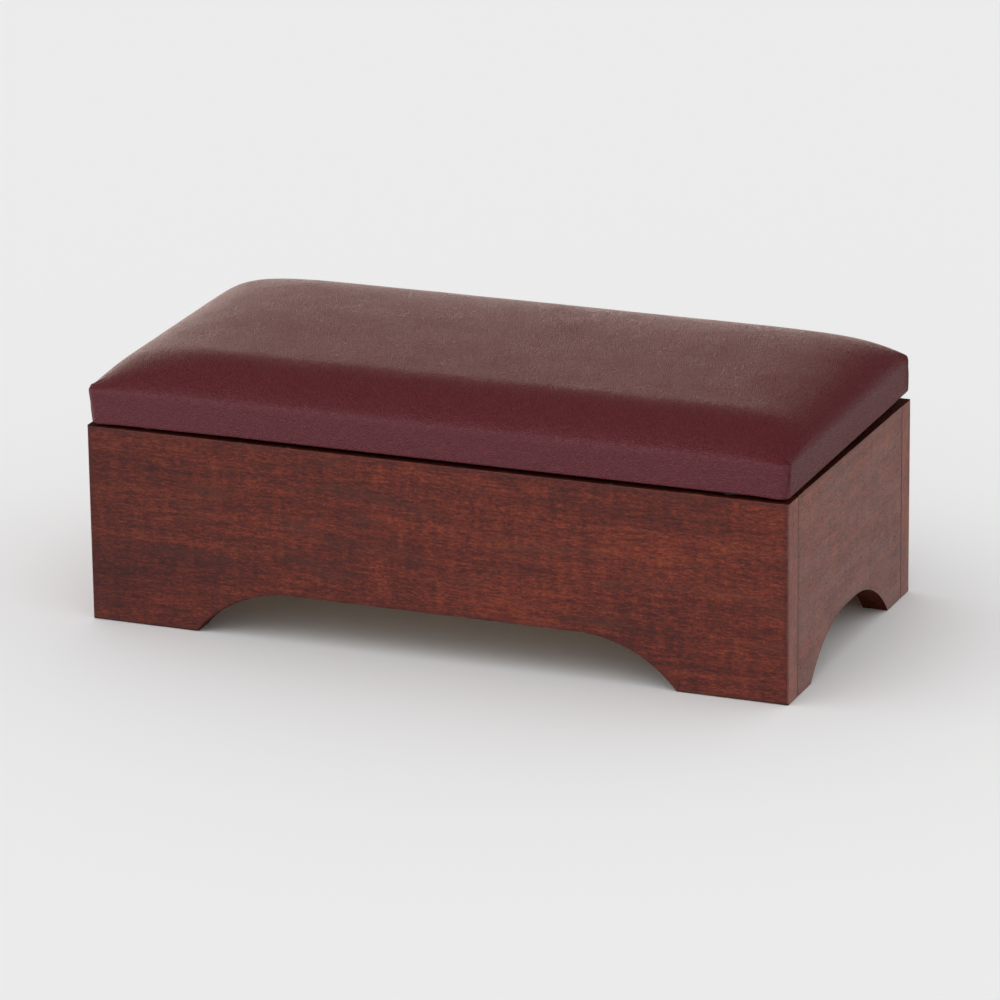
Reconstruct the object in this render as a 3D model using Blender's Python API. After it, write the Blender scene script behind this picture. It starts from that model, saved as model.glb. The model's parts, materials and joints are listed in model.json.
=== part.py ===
"""Low storage bench: a wooden box on bracket feet with a padded, hinged lid.

Metres, +Z up. The origin is on the floor, under the middle of the whole bench.
+X runs along the length, -Y is the front and +Y the hinge side.
"""
import math

import bmesh
import bpy
from mathutils import Matrix, Vector

# ---------------------------------------------------------------- driving dimensions
BOX_W = 0.495            # length of the box along X
BOX_D = 0.244            # depth of the box along Y
BOX_H = 0.136            # height of the box
BOARD = 0.018            # thickness of the wooden panels
GAP = 0.0003             # gap between pieces that touch
CENTRE_Y = -0.0024       # the box sits this far forward, so the hinge barrels count in the length

ARCH_H = 0.0324          # height of the arched cut-outs
ARCH_R = 0.0904          # radius of the quarter curves of each arch
FRONT_ARCH_HALF = 0.1705  # half length of the front arch at the floor
SIDE_ARCH_HALF = 0.0775   # half length of the side arch at the floor
ARCH_STEPS = 14

CLEAT_W, CLEAT_H, CLEAT_Z = 0.012, 0.010, 0.035
FLOOR_T = 0.006
DOWEL_R, DOWEL_OUT, DOWEL_IN = 0.004, 0.010, 0.022
DOWEL_Z = (0.052, 0.112)

HINGE_Y, HINGE_Z = 0.1253, 0.139     # hinge pin axis, in the box's own frame
LID_TILT = math.radians(0.87)        # the closed lid leans forward by this much
HINGE_X = 0.150                      # hinge centres, left and right of the middle
LEAF_L, LEAF_T = 0.050, 0.0012
BARREL_R, BORE_R, PIN_R = 0.0027, 0.0015, 0.0012
LEAF_REACH = 0.0198
LEAF_SCREW_X, LEAF_SCREW_Y = 0.014, 0.0123

LID_W0 = 0.00305         # underside of the cover above the hinge axis
BAND_H = 0.0228          # height of the lid's upright edge
LID_HALF_X = (0.2450, 0.2470)         # half length at the bottom and at the top of the edge
LID_FRONT = (0.1218, 0.1229)          # reach forward of the box's middle, bottom and top
LID_REAR = (0.1220, 0.1232)           # reach backward
LID_CORNER = 0.0040
COVER_T = 0.0012
FOAM_GAP = 0.0008                      # slack between the foam and the cover
COVER_MARGIN = 0.038                  # width of the cover's return under the board
LID_BOARD_T = 0.018
CROWN_H, CROWN_SLOPE = 0.02094, 0.0025
CROWN_LX, CROWN_LF, CROWN_LR = 0.2296, 0.1720, 0.1604
CROWN_EX, CROWN_P = 9.67, 0.60

SCREW_HEAD_R, SCREW_R, SCREW_CONE = 0.0028, 0.0015, 0.0013

# lid stay: a parallelogram with the hinge axis, so both links keep step with the lid
STAY_BOX_Y, STAY_BOX_Z = 0.0880, 0.0730          # fixed pivot on the right side panel
STAY_LID_V, STAY_LID_W = -0.1450, -0.0080        # pivot on the lid, from the hinge axis
LINK_HALF, LINK_T = 0.0060, 0.0018
LINK_HOLE_R, RIVET_R, RIVET_HEAD_R = 0.0023, 0.0020, 0.0040
X_WALL = BOX_W / 2 - BOARD
X_PLATE = (X_WALL - 0.0021, X_WALL - GAP)
X_LOWER = (X_WALL - 0.0042, X_WALL - 0.0024)
X_UPPER = (X_WALL - 0.0063, X_WALL - 0.0045)

# ---------------------------------------------------------------- clear the scene
for old in list(bpy.data.objects):
    bpy.data.objects.remove(old, do_unlink=True)
scene = bpy.context.scene


# ---------------------------------------------------------------- materials
def material(name, colour, roughness, metallic=0.0):
    m = bpy.data.materials.new(name)
    m.use_nodes = True
    shader = m.node_tree.nodes["Principled BSDF"]
    shader.inputs["Base Color"].default_value = (*colour, 1.0)
    shader.inputs["Roughness"].default_value = roughness
    shader.inputs["Metallic"].default_value = metallic
    m.diffuse_color = (*colour, 1.0)
    return m


WOOD = material("mahogany_stain", (0.115, 0.030, 0.018), 0.42)
PALE_WOOD = material("birch_ply", (0.52, 0.36, 0.20), 0.60)
BOARD_WOOD = material("particle_board", (0.42, 0.30, 0.18), 0.75)
VINYL = material("burgundy_vinyl", (0.105, 0.032, 0.036), 0.42)
FOAM = material("foam", (0.75, 0.68, 0.42), 0.90)
CAMBRIC = material("black_cambric", (0.02, 0.02, 0.02), 0.90)
STEEL = material("plated_steel", (0.50, 0.47, 0.40), 0.35, 1.0)
RUBBER = material("black_rubber", (0.03, 0.03, 0.03), 0.80)

# ---------------------------------------------------------------- frames
# box_frame is the middle of the box on the floor; lid_frame is the hinge axis, tilted with the lid.
box_frame = bpy.data.objects.new("box_frame", None)
box_frame.location = (0, CENTRE_Y, 0)
lid_frame = bpy.data.objects.new("lid_frame", None)
lid_frame.parent = box_frame
lid_frame.location = (0, HINGE_Y, HINGE_Z)
lid_frame.rotation_euler = (LID_TILT, 0, 0)
for e in (box_frame, lid_frame):
    scene.collection.objects.link(e)


def lid_point(x, y, w):
    """A point of the lid given as x, y from the box's middle and w above the hinge axis, in lid_frame."""
    return (x, y - HINGE_Y, w)


# ---------------------------------------------------------------- helpers
def make(name, bm, mat, parent=box_frame, location=(0, 0, 0), rotation=(0, 0, 0), smooth=None):
    bmesh.ops.recalc_face_normals(bm, faces=bm.faces)
    mesh = bpy.data.meshes.new(name)
    bm.to_mesh(mesh)
    bm.free()
    if mat:
        mesh.materials.append(mat)
    if smooth is not None:
        mesh.shade_smooth()
        mesh.set_sharp_from_angle(angle=math.radians(smooth))
    o = bpy.data.objects.new(name, mesh)
    o.parent = parent
    o.location = location
    o.rotation_euler = rotation
    scene.collection.objects.link(o)
    return o


def guide(name, bm, parent=box_frame, location=(0, 0, 0), rotation=(0, 0, 0)):
    """A helper solid for a Boolean. It isn't part of the bench."""
    o = make(name, bm, None, parent, location, rotation)
    o.hide_render = True
    o.display_type = "WIRE"
    return o


def combine(target, tool, operation="DIFFERENCE"):
    mod = target.modifiers.new(tool.name, "BOOLEAN")
    mod.operation = operation
    mod.solver = "EXACT"
    mod.object = tool
    return mod


def prism(points, depth, axis="Y", start=0.0):
    """A closed outline of (a, b) pairs swept along an axis: XZ along Y, YZ along X, XY along Z."""
    bm = bmesh.new()
    place = {
        "Y": lambda a, b, t: (a, t, b),
        "X": lambda a, b, t: (t, a, b),
        "Z": lambda a, b, t: (a, b, t),
    }[axis]
    base = bm.faces.new([bm.verts.new(place(a, b, start)) for a, b in points])
    out = bmesh.ops.extrude_face_region(bm, geom=[base])
    moved = [v for v in out["geom"] if isinstance(v, bmesh.types.BMVert)]
    step = {"Y": (0, depth, 0), "X": (depth, 0, 0), "Z": (0, 0, depth)}[axis]
    bmesh.ops.translate(bm, verts=moved, vec=step)
    bmesh.ops.recalc_face_normals(bm, faces=bm.faces)
    return bm


def block(lo, hi):
    bm = bmesh.new()
    bmesh.ops.create_cube(bm, size=1.0)
    size = [b - a for a, b in zip(lo, hi)]
    mid = [(a + b) / 2 for a, b in zip(lo, hi)]
    bmesh.ops.scale(bm, verts=bm.verts, vec=size)
    bmesh.ops.translate(bm, verts=bm.verts, vec=mid)
    return bm


def turned(profile, steps=20, axis="Z"):
    """A closed solid turned from (radius, height) pairs, whose ends lie on the axis."""
    bm = bmesh.new()
    verts = [bm.verts.new((r, 0, h)) for r, h in profile]
    edges = [bm.edges.new(p) for p in zip(verts, verts[1:])]
    bmesh.ops.spin(bm, geom=verts + edges, cent=(0, 0, 0), axis=(0, 0, 1),
                   angle=2 * math.pi, steps=steps, use_duplicate=False)
    bmesh.ops.remove_doubles(bm, verts=bm.verts, dist=1e-6)
    if axis == "X":
        bmesh.ops.rotate(bm, verts=bm.verts, cent=(0, 0, 0), matrix=Matrix.Rotation(math.pi / 2, 3, "Y"))
    if axis == "Y":
        bmesh.ops.rotate(bm, verts=bm.verts, cent=(0, 0, 0), matrix=Matrix.Rotation(-math.pi / 2, 3, "X"))
    bmesh.ops.recalc_face_normals(bm, faces=bm.faces)
    return bm


def soften(bm, width, choose, segments=2):
    edges = [e for e in bm.edges if choose(e)]
    bmesh.ops.bevel(bm, geom=edges, offset=width, offset_type="OFFSET", segments=segments,
                    profile=0.5, affect="EDGES", clamp_overlap=True)
    return bm


def is_sharp(e, degrees=25):
    return len(e.link_faces) == 2 and e.calc_face_angle(0) > math.radians(degrees)


# ---------------------------------------------------------------- wooden panels
def arched(half_len, half_arch):
    """Outline of an upright panel whose lower edge is cut into an arch between two feet."""
    phi = math.acos(1 - ARCH_H / ARCH_R)
    run = ARCH_R * math.sin(phi)
    arc = []
    for i in range(ARCH_STEPS + 1):
        a = phi * (1 - i / ARCH_STEPS)
        arc.append((-(half_arch - run) - ARCH_R * math.sin(a), ARCH_H - ARCH_R * (1 - math.cos(a))))
    arc[0] = (-half_arch, 0.0)
    mirrored = [(-x, z) for x, z in reversed(arc)]
    return [(-half_len, 0.0)] + arc + mirrored + [(half_len, 0.0), (half_len, BOX_H), (-half_len, BOX_H)]


def front_or_back(name, y0, outer_sign):
    bm = prism(arched(BOX_W / 2, FRONT_ARCH_HALF), BOARD, "Y", y0)
    outer_y = y0 if outer_sign < 0 else y0 + BOARD

    def outer(e):
        a, b = e.verts[0].co, e.verts[1].co
        return is_sharp(e) and abs(a.y - outer_y) < 1e-6 and abs(b.y - outer_y) < 1e-6
    soften(bm, 0.0014, outer, 3)
    soften(bm, 0.0004, lambda e: is_sharp(e, 60), 1)
    return make(name, bm, WOOD, smooth=30)


front_panel = front_or_back("front_panel", -BOX_D / 2, -1)
back_panel = front_or_back("back_panel", BOX_D / 2 - BOARD, 1)


def side(name, x0):
    half = BOX_D / 2 - BOARD - GAP
    bm = prism(arched(half, SIDE_ARCH_HALF), BOARD, "X", x0)
    soften(bm, 0.0004, lambda e: is_sharp(e, 40), 1)
    return make(name, bm, WOOD, smooth=30)


right_side_panel = side("right_side_panel", BOX_W / 2 - BOARD)
left_side_panel = side("left_side_panel", -BOX_W / 2)

# storage floor and the cleats that carry it
INNER_X, INNER_Y = BOX_W / 2 - BOARD, BOX_D / 2 - BOARD
for name, lo, hi in (
    ("front_cleat", (-INNER_X + GAP, -INNER_Y + GAP), (INNER_X - GAP, -INNER_Y + GAP + CLEAT_W)),
    ("rear_cleat", (-INNER_X + GAP, INNER_Y - GAP - CLEAT_W), (INNER_X - GAP, INNER_Y - GAP)),
    ("left_cleat", (-INNER_X + GAP, -INNER_Y + 2 * GAP + CLEAT_W), (-INNER_X + GAP + CLEAT_W, INNER_Y - 2 * GAP - CLEAT_W)),
    ("right_cleat", (INNER_X - GAP - CLEAT_W, -INNER_Y + 2 * GAP + CLEAT_W), (INNER_X - GAP, INNER_Y - 2 * GAP - CLEAT_W)),
):
    bm = block((*lo, CLEAT_Z), (*hi, CLEAT_Z + CLEAT_H))
    soften(bm, 0.0006, lambda e: is_sharp(e), 1)
    make(name, bm, PALE_WOOD)
FLOOR_Z = CLEAT_Z + CLEAT_H + GAP
make("storage_floor", block((-INNER_X + 0.0005, -INNER_Y + 0.0005, FLOOR_Z),
                            (INNER_X - 0.0005, INNER_Y - 0.0005, FLOOR_Z + FLOOR_T)), PALE_WOOD)

# corner dowels: each runs along Y from the end of a side panel into the front or back panel
for side_name, panel_x, sx in (("left", left_side_panel, -1), ("right", right_side_panel, 1)):
    for end_name, cross, sy in (("front", front_panel, -1), ("rear", back_panel, 1)):
        for level, z in zip(("lower", "upper"), DOWEL_Z):
            x = sx * (BOX_W / 2 - BOARD / 2)
            joint_y = sy * INNER_Y
            lo, hi = sorted((joint_y + sy * DOWEL_OUT, joint_y - sy * DOWEL_IN))
            length = hi - lo
            chamfer = 0.0008
            bm = turned([(0, lo), (DOWEL_R - chamfer, lo), (DOWEL_R, lo + chamfer),
                         (DOWEL_R, hi - chamfer), (DOWEL_R - chamfer, hi), (0, hi)], 12, "Y")
            make(f"{side_name}_{end_name}_{level}_dowel", bm, PALE_WOOD, location=(x, 0, z), smooth=30)
            bm = turned([(0, lo - 0.0005), (DOWEL_R + GAP, lo - 0.0005), (DOWEL_R + GAP, hi + 0.0005), (0, hi + 0.0005)], 12, "Y")
            hole = guide(f"hole_{side_name}_{end_name}_{level}", bm, location=(x, 0, z))
            combine(panel_x, hole)
            combine(cross, hole)

# lid bumpers on the front panel's top edge
for name, x in (("left_lid_bumper", -0.205), ("right_lid_bumper", 0.205)):
    bm = turned([(0, 0), (0.0050, 0), (0.0050, 0.0009), (0.0046, 0.0015), (0.0038, 0.0018), (0, 0.0018)], 16)
    make(name, bm, RUBBER, location=(x, -BOX_D / 2 + BOARD / 2, BOX_H + GAP), smooth=40)


# ---------------------------------------------------------------- upholstered lid
def crown(x, y):
    """Height of the padded top above the top of the lid's upright edge."""
    def rise(d, reach):
        return 1 - (1 - min(max(d, 0.0) / reach, 1.0)) ** CROWN_EX
    s = (rise(LID_HALF_X[1] - abs(x), CROWN_LX) * rise(y + LID_FRONT[1], CROWN_LF)
         * rise(LID_REAR[1] - y, CROWN_LR)) ** CROWN_P
    return (CROWN_H + CROWN_SLOPE * y / 0.122) * s


def rounded_loop(hx, yf, yr, r, nx=10, ny=5, nc=3):
    """Points round a rectangle from -yf to yr and -hx to hx with corner radius r."""
    pts = []
    corners = ((hx - r, -yf + r, -90), (hx - r, yr - r, 0), (-hx + r, yr - r, 90), (-hx + r, -yf + r, 180))
    for k, (cx, cy, a0) in enumerate(corners):
        for i in range(nc + 1):
            a = math.radians(a0 + 90 * i / nc)
            pts.append((cx + r * math.cos(a), cy + r * math.sin(a)))
        nxt = corners[(k + 1) % 4]
        n = ny if k % 2 == 0 else nx
        a = math.radians(a0 + 90)
        p = (cx + r * math.cos(a), cy + r * math.sin(a))
        q = (nxt[0] + r * math.cos(a), nxt[1] + r * math.sin(a))
        for i in range(1, n):
            t = i / n
            pts.append((p[0] + (q[0] - p[0]) * t, p[1] + (q[1] - p[1]) * t))
    return pts


TOP_INSETS = (0.0008, 0.0026, 0.0060, 0.0115, 0.0200, 0.0320, 0.0480, 0.0700, 0.0980)


def lid_rings(shrink=0.0):
    """Rings of the cover's outer face, from its inner margin below, round the edge and over the top."""
    rings = []
    (hb, ht), (fb, ft), (rb, rt) = LID_HALF_X, LID_FRONT, LID_REAR
    e = 0.0025

    def ring(inset, w, bottom=0.0, r=LID_CORNER):
        k = bottom
        loop = rounded_loop(hb + (ht - hb) * k - inset, fb + (ft - fb) * k - inset, rb + (rt - rb) * k - inset, max(r - inset * 0.3, 0.0015))
        return [(x, y, w) for x, y in loop]
    rings.append(ring(COVER_MARGIN, LID_W0))
    rings.append(ring(0.012, LID_W0))
    for a in (90, 60, 30, 0):
        c, s = math.cos(math.radians(a)), math.sin(math.radians(a))
        rings.append(ring(e * (1 - c), LID_W0 + e * (1 - s)))
    for k in (0.5, 0.92, 1.0):
        rings.append(ring(0.0, LID_W0 + e + (BAND_H - e) * k, k))
    for inset in TOP_INSETS:
        loop = rounded_loop(ht - inset, ft - inset, rt - inset, LID_CORNER + inset * 0.10)
        rings.append([(x, y, LID_W0 + BAND_H + crown(x, y)) for x, y in loop])
    return rings


def skin(rings, cap_last=True, cap_first=False):
    bm = bmesh.new()
    loops = [[bm.verts.new(lid_point(*p)) for p in ring] for ring in rings]
    n = len(loops[0])
    for a, b in zip(loops, loops[1:]):
        for i in range(n):
            bm.faces.new((a[i], a[(i + 1) % n], b[(i + 1) % n], b[i]))
    if cap_last:
        bm.faces.new(loops[-1])
    if cap_first:
        bm.faces.new(list(reversed(loops[0])))
    bmesh.ops.recalc_face_normals(bm, faces=bm.faces)
    return bm, loops


# the cover: one skin, wrapped under the board, given its thickness inwards
bm, loops = skin(lid_rings())
if sum(f.normal.z * f.calc_area() for f in bm.faces if f.calc_center_median().z > 0.03) < 0:
    bmesh.ops.reverse_faces(bm, faces=bm.faces)
bm.normal_update()
inner = [[v.co - v.normal * COVER_T for v in loop] for loop in loops]
pad_ring = [[v.co - v.normal * (COVER_T + FOAM_GAP) for v in loop] for loop in loops]
n = len(loops[0])
inner_loops = [[bm.verts.new(p) for p in loop] for loop in inner]
for a, b in zip(inner_loops, inner_loops[1:]):
    for i in range(n):
        bm.faces.new((b[i], b[(i + 1) % n], a[(i + 1) % n], a[i]))
bm.faces.new(list(reversed(inner_loops[-1])))
for i in range(n):   # rim of the opening under the board
    bm.faces.new((inner_loops[0][i], inner_loops[0][(i + 1) % n], loops[0][(i + 1) % n], loops[0][i]))
vinyl_cover = make("vinyl_cover", bm, VINYL, parent=lid_frame, smooth=40)

# the board inside the lid
inset = COVER_T + GAP
BOARD_W0 = LID_W0 + COVER_T + GAP
BOARD_W1 = BOARD_W0 + LID_BOARD_T
outline = [(x, y - HINGE_Y) for x, y in rounded_loop(LID_HALF_X[0] - inset, LID_FRONT[0] - inset, LID_REAR[0] - inset, LID_CORNER - inset, 1, 1, 4)]
bm = prism(outline, LID_BOARD_T, "Z", BOARD_W0)
soften(bm, 0.0016, lambda e: is_sharp(e, 60), 2)
lid_board = make("lid_board", bm, BOARD_WOOD, parent=lid_frame, smooth=30)

# the foam between the board and the cover
base_w = BOARD_W1 + GAP
first = next(i for i, ring in enumerate(lid_rings()) if ring[0][2] > base_w + 0.001 and i > 5)
bm = bmesh.new()
rings = pad_ring[first:]
bottom = [Vector((p.x, p.y, base_w)) for p in rings[0]]
foam_loops = [[bm.verts.new(p) for p in ring] for ring in [bottom] + rings]
for a, b in zip(foam_loops, foam_loops[1:]):
    for i in range(n):
        bm.faces.new((a[i], a[(i + 1) % n], b[(i + 1) % n], b[i]))
bm.faces.new(foam_loops[-1])
bm.faces.new(list(reversed(foam_loops[0])))
foam_pad = make("foam_pad", bm, FOAM, parent=lid_frame, smooth=40)

# black dust cover under the lid
bm = prism([(x, y - HINGE_Y) for x, y in rounded_loop(0.214, 0.089, 0.089, 0.004, 1, 1, 3)], 0.0005, "Z", 0.00225)
dust_cover = make("dust_cover", bm, CAMBRIC, parent=lid_frame)


# ---------------------------------------------------------------- screws
def screw_profile(length, grow=0.0):
    """Countersunk screw, head flush at height 0 and point down."""
    g = grow
    top = [(0, 0.0), (SCREW_HEAD_R, 0.0)] if not g else [(0, 0.0010), (SCREW_HEAD_R + g, 0.0010), (SCREW_HEAD_R + g, 0.0)]
    return top + [(SCREW_R + g, -SCREW_CONE), (SCREW_R + g, -length + 0.0025), (0.0004 + g, -length - g), (0, -length - g)]


def screw(name, parent, location, rotation, length, cuts):
    make(name, turned(screw_profile(length), 14), STEEL, parent, location, rotation, smooth=35)
    hole = guide("hole_" + name, turned(screw_profile(length, GAP), 14), parent, location, rotation)
    for target in cuts:
        combine(target, hole)


# ---------------------------------------------------------------- hinges
def curl(sign):
    """Outline in YZ of a leaf's rolled knuckle about the pin, joined to its leaf. sign -1 rolls up from below."""
    end = 205
    pts = [(-0.0045, -BARREL_R), (0.0, -BARREL_R)]
    for a in range(-75, end, 15):
        pts.append((BARREL_R * math.cos(math.radians(a)), BARREL_R * math.sin(math.radians(a))))
    pts.append((BARREL_R * math.cos(math.radians(end)), BARREL_R * math.sin(math.radians(end))))
    pts.append((BORE_R * math.cos(math.radians(end)), BORE_R * math.sin(math.radians(end))))
    for a in range(end - 10, -90, -15):
        pts.append((BORE_R * math.cos(math.radians(a)), BORE_R * math.sin(math.radians(a))))
    pts += [(0.0, -BORE_R), (-0.0045, -BORE_R)]
    return [(y, -sign * z) for y, z in pts]


KNUCKLE = (LEAF_L - 4 * GAP) / 5


def leaf(name, x, parent, location, sign, slots):
    lo, hi = sorted((sign * BARREL_R, sign * BORE_R))
    bm = block((-LEAF_L / 2, -LEAF_REACH, lo), (LEAF_L / 2, -BARREL_R - 0.0005, hi))
    soften(bm, 0.0015, lambda e: abs(e.verts[0].co.z - e.verts[1].co.z) > 0.001 and e.verts[0].co.y < -0.01, 2)
    o = make(name, bm, STEEL, parent, location, smooth=30)
    for k in slots:
        start = -LEAF_L / 2 + k * (KNUCKLE + GAP)
        tool = guide(f"{name}_knuckle_{k}", prism(curl(sign), KNUCKLE, "X", start), parent, location)
        combine(o, tool, "UNION")
    return o


for hinge, x in (("left", -HINGE_X), ("right", HINGE_X)):
    box_leaf = leaf(f"{hinge}_hinge_box_leaf", x, box_frame, (x, HINGE_Y, HINGE_Z), -1, (0, 2, 4))
    lid_leaf = leaf(f"{hinge}_hinge_lid_leaf", x, lid_frame, (x, 0, 0), 1, (1, 3))
    half = LEAF_L / 2 + GAP
    bm = turned([(0, -half - 0.0009), (0.0014, -half - 0.0008), (0.0021, -half - 0.0004), (0.0021, -half), (PIN_R, -half),
                 (PIN_R, half), (0.0021, half), (0.0021, half + 0.0004), (0.0014, half + 0.0008), (0, half + 0.0009)], 16, "X")
    make(f"{hinge}_hinge_pin", bm, STEEL, location=(x, HINGE_Y, HINGE_Z), smooth=35)
    for tag, dx in (("a", -LEAF_SCREW_X), ("b", LEAF_SCREW_X)):
        screw(f"{hinge}_box_leaf_screw_{tag}", box_frame,
              (x + dx, HINGE_Y - LEAF_SCREW_Y, HINGE_Z - BORE_R), (0, 0, 0), 0.016, [box_leaf, back_panel])
        screw(f"{hinge}_lid_leaf_screw_{tag}", lid_frame,
              (x + dx, -LEAF_SCREW_Y, BORE_R), (math.pi, 0, 0), 0.014, [lid_leaf, vinyl_cover, lid_board])


# ---------------------------------------------------------------- lid stay
def cut_round(target, name, parent, y, z, r, x0, x1):
    bm = turned([(0, x0), (r, x0), (r, x1), (0, x1)], 16, "X")
    combine(target, guide(name, bm, parent, (0, y, z)))


# fixed bracket on the right side panel
w, h = 0.012, 0.0125
plate = [(STAY_BOX_Y - w, 0.055), (STAY_BOX_Y + w, 0.055), (STAY_BOX_Y + w, 0.066),
         (STAY_BOX_Y + 0.0065, 0.0800), (STAY_BOX_Y - 0.0065, 0.0800), (STAY_BOX_Y - w, 0.066)]
bm = prism(plate, X_PLATE[1] - X_PLATE[0], "X", X_PLATE[0])
soften(bm, 0.0025, lambda e: abs(e.verts[0].co.x - e.verts[1].co.x) > 0.001, 3)
box_bracket = make("stay_box_bracket", bm, STEEL, smooth=30)
for tag, dy in (("a", -0.007), ("b", 0.007)):
    screw(f"stay_box_bracket_screw_{tag}", box_frame, (X_PLATE[0], STAY_BOX_Y + dy, 0.0605),
          (0, -math.pi / 2, 0), 0.012, [box_bracket, right_side_panel])
g = GAP
flare = turned([(0, X_PLATE[1] + 0.001), (0.0033, X_PLATE[1] + 0.001), (0.0033, X_PLATE[1] - 0.0001),
                (RIVET_R + g, X_PLATE[1] - 0.0011), (RIVET_R + g, X_PLATE[0] - 0.001), (0, X_PLATE[0] - 0.001)], 16, "X")
combine(box_bracket, guide("hole_stay_box_rivet", flare, box_frame, (0, STAY_BOX_Y, STAY_BOX_Z)))
x1, x0 = X_PLATE[1] - 0.0002, X_LOWER[0] - g
bm = turned([(0, x1), (0.0028, x1), (RIVET_R, x1 - 0.0009), (RIVET_R, x0), (RIVET_HEAD_R, x0),
             (RIVET_HEAD_R, x0 - 0.0006), (0.0030, x0 - 0.0012), (0, x0 - 0.0014)], 16, "X")
make("stay_box_rivet", bm, STEEL, location=(0, STAY_BOX_Y, STAY_BOX_Z), smooth=35)


def through_rivet(name, parent, y, z):
    outer, inner = X_LOWER[1] + g, X_UPPER[0] - g
    bm = turned([(0, outer + 0.0011), (0.0028, outer + 0.0010), (RIVET_HEAD_R, outer + 0.0005), (RIVET_HEAD_R, outer),
                 (RIVET_R, outer), (RIVET_R, inner), (RIVET_HEAD_R, inner), (RIVET_HEAD_R, inner - 0.0006),
                 (0.0030, inner - 0.0012), (0, inner - 0.0014)], 16, "X")
    return make(name, bm, STEEL, parent, (0, y, z), smooth=35)


# bracket under the lid: a flange screwed to the board and an ear for the upper link
ear = [(-0.007, BORE_R + 0.0012), (-0.007, STAY_LID_W)]
for i in range(1, 12):
    a = math.radians(180 + 180 * i / 12)
    ear.append((0.007 * math.cos(a), STAY_LID_W + 0.007 * math.sin(a)))
ear += [(0.007, STAY_LID_W), (0.007, BORE_R + 0.0012)]
flange = block((X_WALL - 0.0140, -0.015, 0.0009), (X_LOWER[1], 0.015, 0.0027))
soften(flange, 0.0025, lambda e: abs(e.verts[0].co.z - e.verts[1].co.z) > 0.001, 3)
lid_bracket = make("stay_lid_bracket", flange, STEEL, lid_frame, (0, STAY_LID_V, 0), smooth=30)
tool = guide("stay_lid_bracket_ear", prism(ear, X_LOWER[1] - X_LOWER[0], "X", X_LOWER[0]), lid_frame, (0, STAY_LID_V, 0))
combine(lid_bracket, tool, "UNION")
cut_round(lid_bracket, "hole_stay_lid_ear", lid_frame, STAY_LID_V, STAY_LID_W, LINK_HOLE_R, X_LOWER[0] - 0.001, X_LOWER[1] + 0.001)
for tag, dy in (("a", -0.010), ("b", 0.010)):
    screw(f"stay_lid_bracket_screw_{tag}", lid_frame, (X_WALL - 0.0095, STAY_LID_V + dy, 0.0009),
          (math.pi, 0, 0), 0.014, [lid_bracket, vinyl_cover, lid_board])
through_rivet("stay_lid_rivet", lid_frame, STAY_LID_V, STAY_LID_W)

# the links: the lower one is parallel to the line from the hinge to the lid pivot
c, s = math.cos(LID_TILT), math.sin(LID_TILT)
lid_dy, lid_dz = STAY_LID_V * c - STAY_LID_W * s, STAY_LID_V * s + STAY_LID_W * c
ELBOW_Y, ELBOW_Z = STAY_BOX_Y + lid_dy, STAY_BOX_Z + lid_dz
LOWER_LEN = math.hypot(lid_dy, lid_dz)
UPPER_LEN = math.hypot(HINGE_Y - STAY_BOX_Y, HINGE_Z - STAY_BOX_Z)
LOWER_ANGLE = math.atan2(lid_dz, lid_dy)                    # from the box pivot to the elbow
UPPER_ANGLE = math.atan2(HINGE_Z - STAY_BOX_Z, HINGE_Y - STAY_BOX_Y)


def link_outline(start, end, half):
    pts = []
    for i in range(13):
        a = math.radians(90 + 180 * i / 12)
        pts.append((start + half * math.cos(a), half * math.sin(a)))
    for i in range(13):
        a = math.radians(-90 + 180 * i / 12)
        pts.append((end + half * math.cos(a), half * math.sin(a)))
    return pts


# lower link, drawn from the elbow (0) to the box pivot, with a tail past the elbow
tail = 0.012
spin = LOWER_ANGLE + math.pi
bm = prism(link_outline(-tail, LOWER_LEN, LINK_HALF), LINK_T, "X", X_LOWER[0])
lower_link = make("stay_lower_link", bm, STEEL, box_frame, (0, ELBOW_Y, ELBOW_Z), (spin, 0, 0), smooth=30)
# the tab on the tail that the upper link meets when the lid is fully open
tab = block((X_UPPER[0] + 0.0002, -0.0160, -0.0040), (X_LOWER[0] + 0.0005, -0.0120, -0.0018))
combine(lower_link, guide("stay_stop_tab", tab, box_frame, (0, ELBOW_Y, ELBOW_Z), (spin, 0, 0)), "UNION")
cut_round(lower_link, "hole_lower_link_elbow", box_frame, ELBOW_Y, ELBOW_Z, LINK_HOLE_R, X_LOWER[0] - 0.001, X_LOWER[1] + 0.001)
cut_round(lower_link, "hole_lower_link_box", box_frame, STAY_BOX_Y, STAY_BOX_Z, LINK_HOLE_R, X_LOWER[0] - 0.001, X_LOWER[1] + 0.001)
through_rivet("stay_elbow_rivet", box_frame, ELBOW_Y, ELBOW_Z)

bm = prism(link_outline(0, UPPER_LEN, LINK_HALF), LINK_T, "X", X_UPPER[0])
upper_link = make("stay_upper_link", bm, STEEL, box_frame, (0, ELBOW_Y, ELBOW_Z), (UPPER_ANGLE, 0, 0), smooth=30)
cut_round(upper_link, "hole_upper_link_elbow", box_frame, ELBOW_Y, ELBOW_Z, LINK_HOLE_R, X_UPPER[0] - 0.001, X_UPPER[1] + 0.001)
cut_round(upper_link, "hole_upper_link_lid", box_frame, ELBOW_Y + UPPER_LEN * math.cos(UPPER_ANGLE),
          ELBOW_Z + UPPER_LEN * math.sin(UPPER_ANGLE), LINK_HOLE_R, X_UPPER[0] - 0.001, X_UPPER[1] + 0.001)
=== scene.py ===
import json
import math

import bmesh
import bpy
import numpy as np
from mathutils import Matrix, Vector, noise

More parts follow.
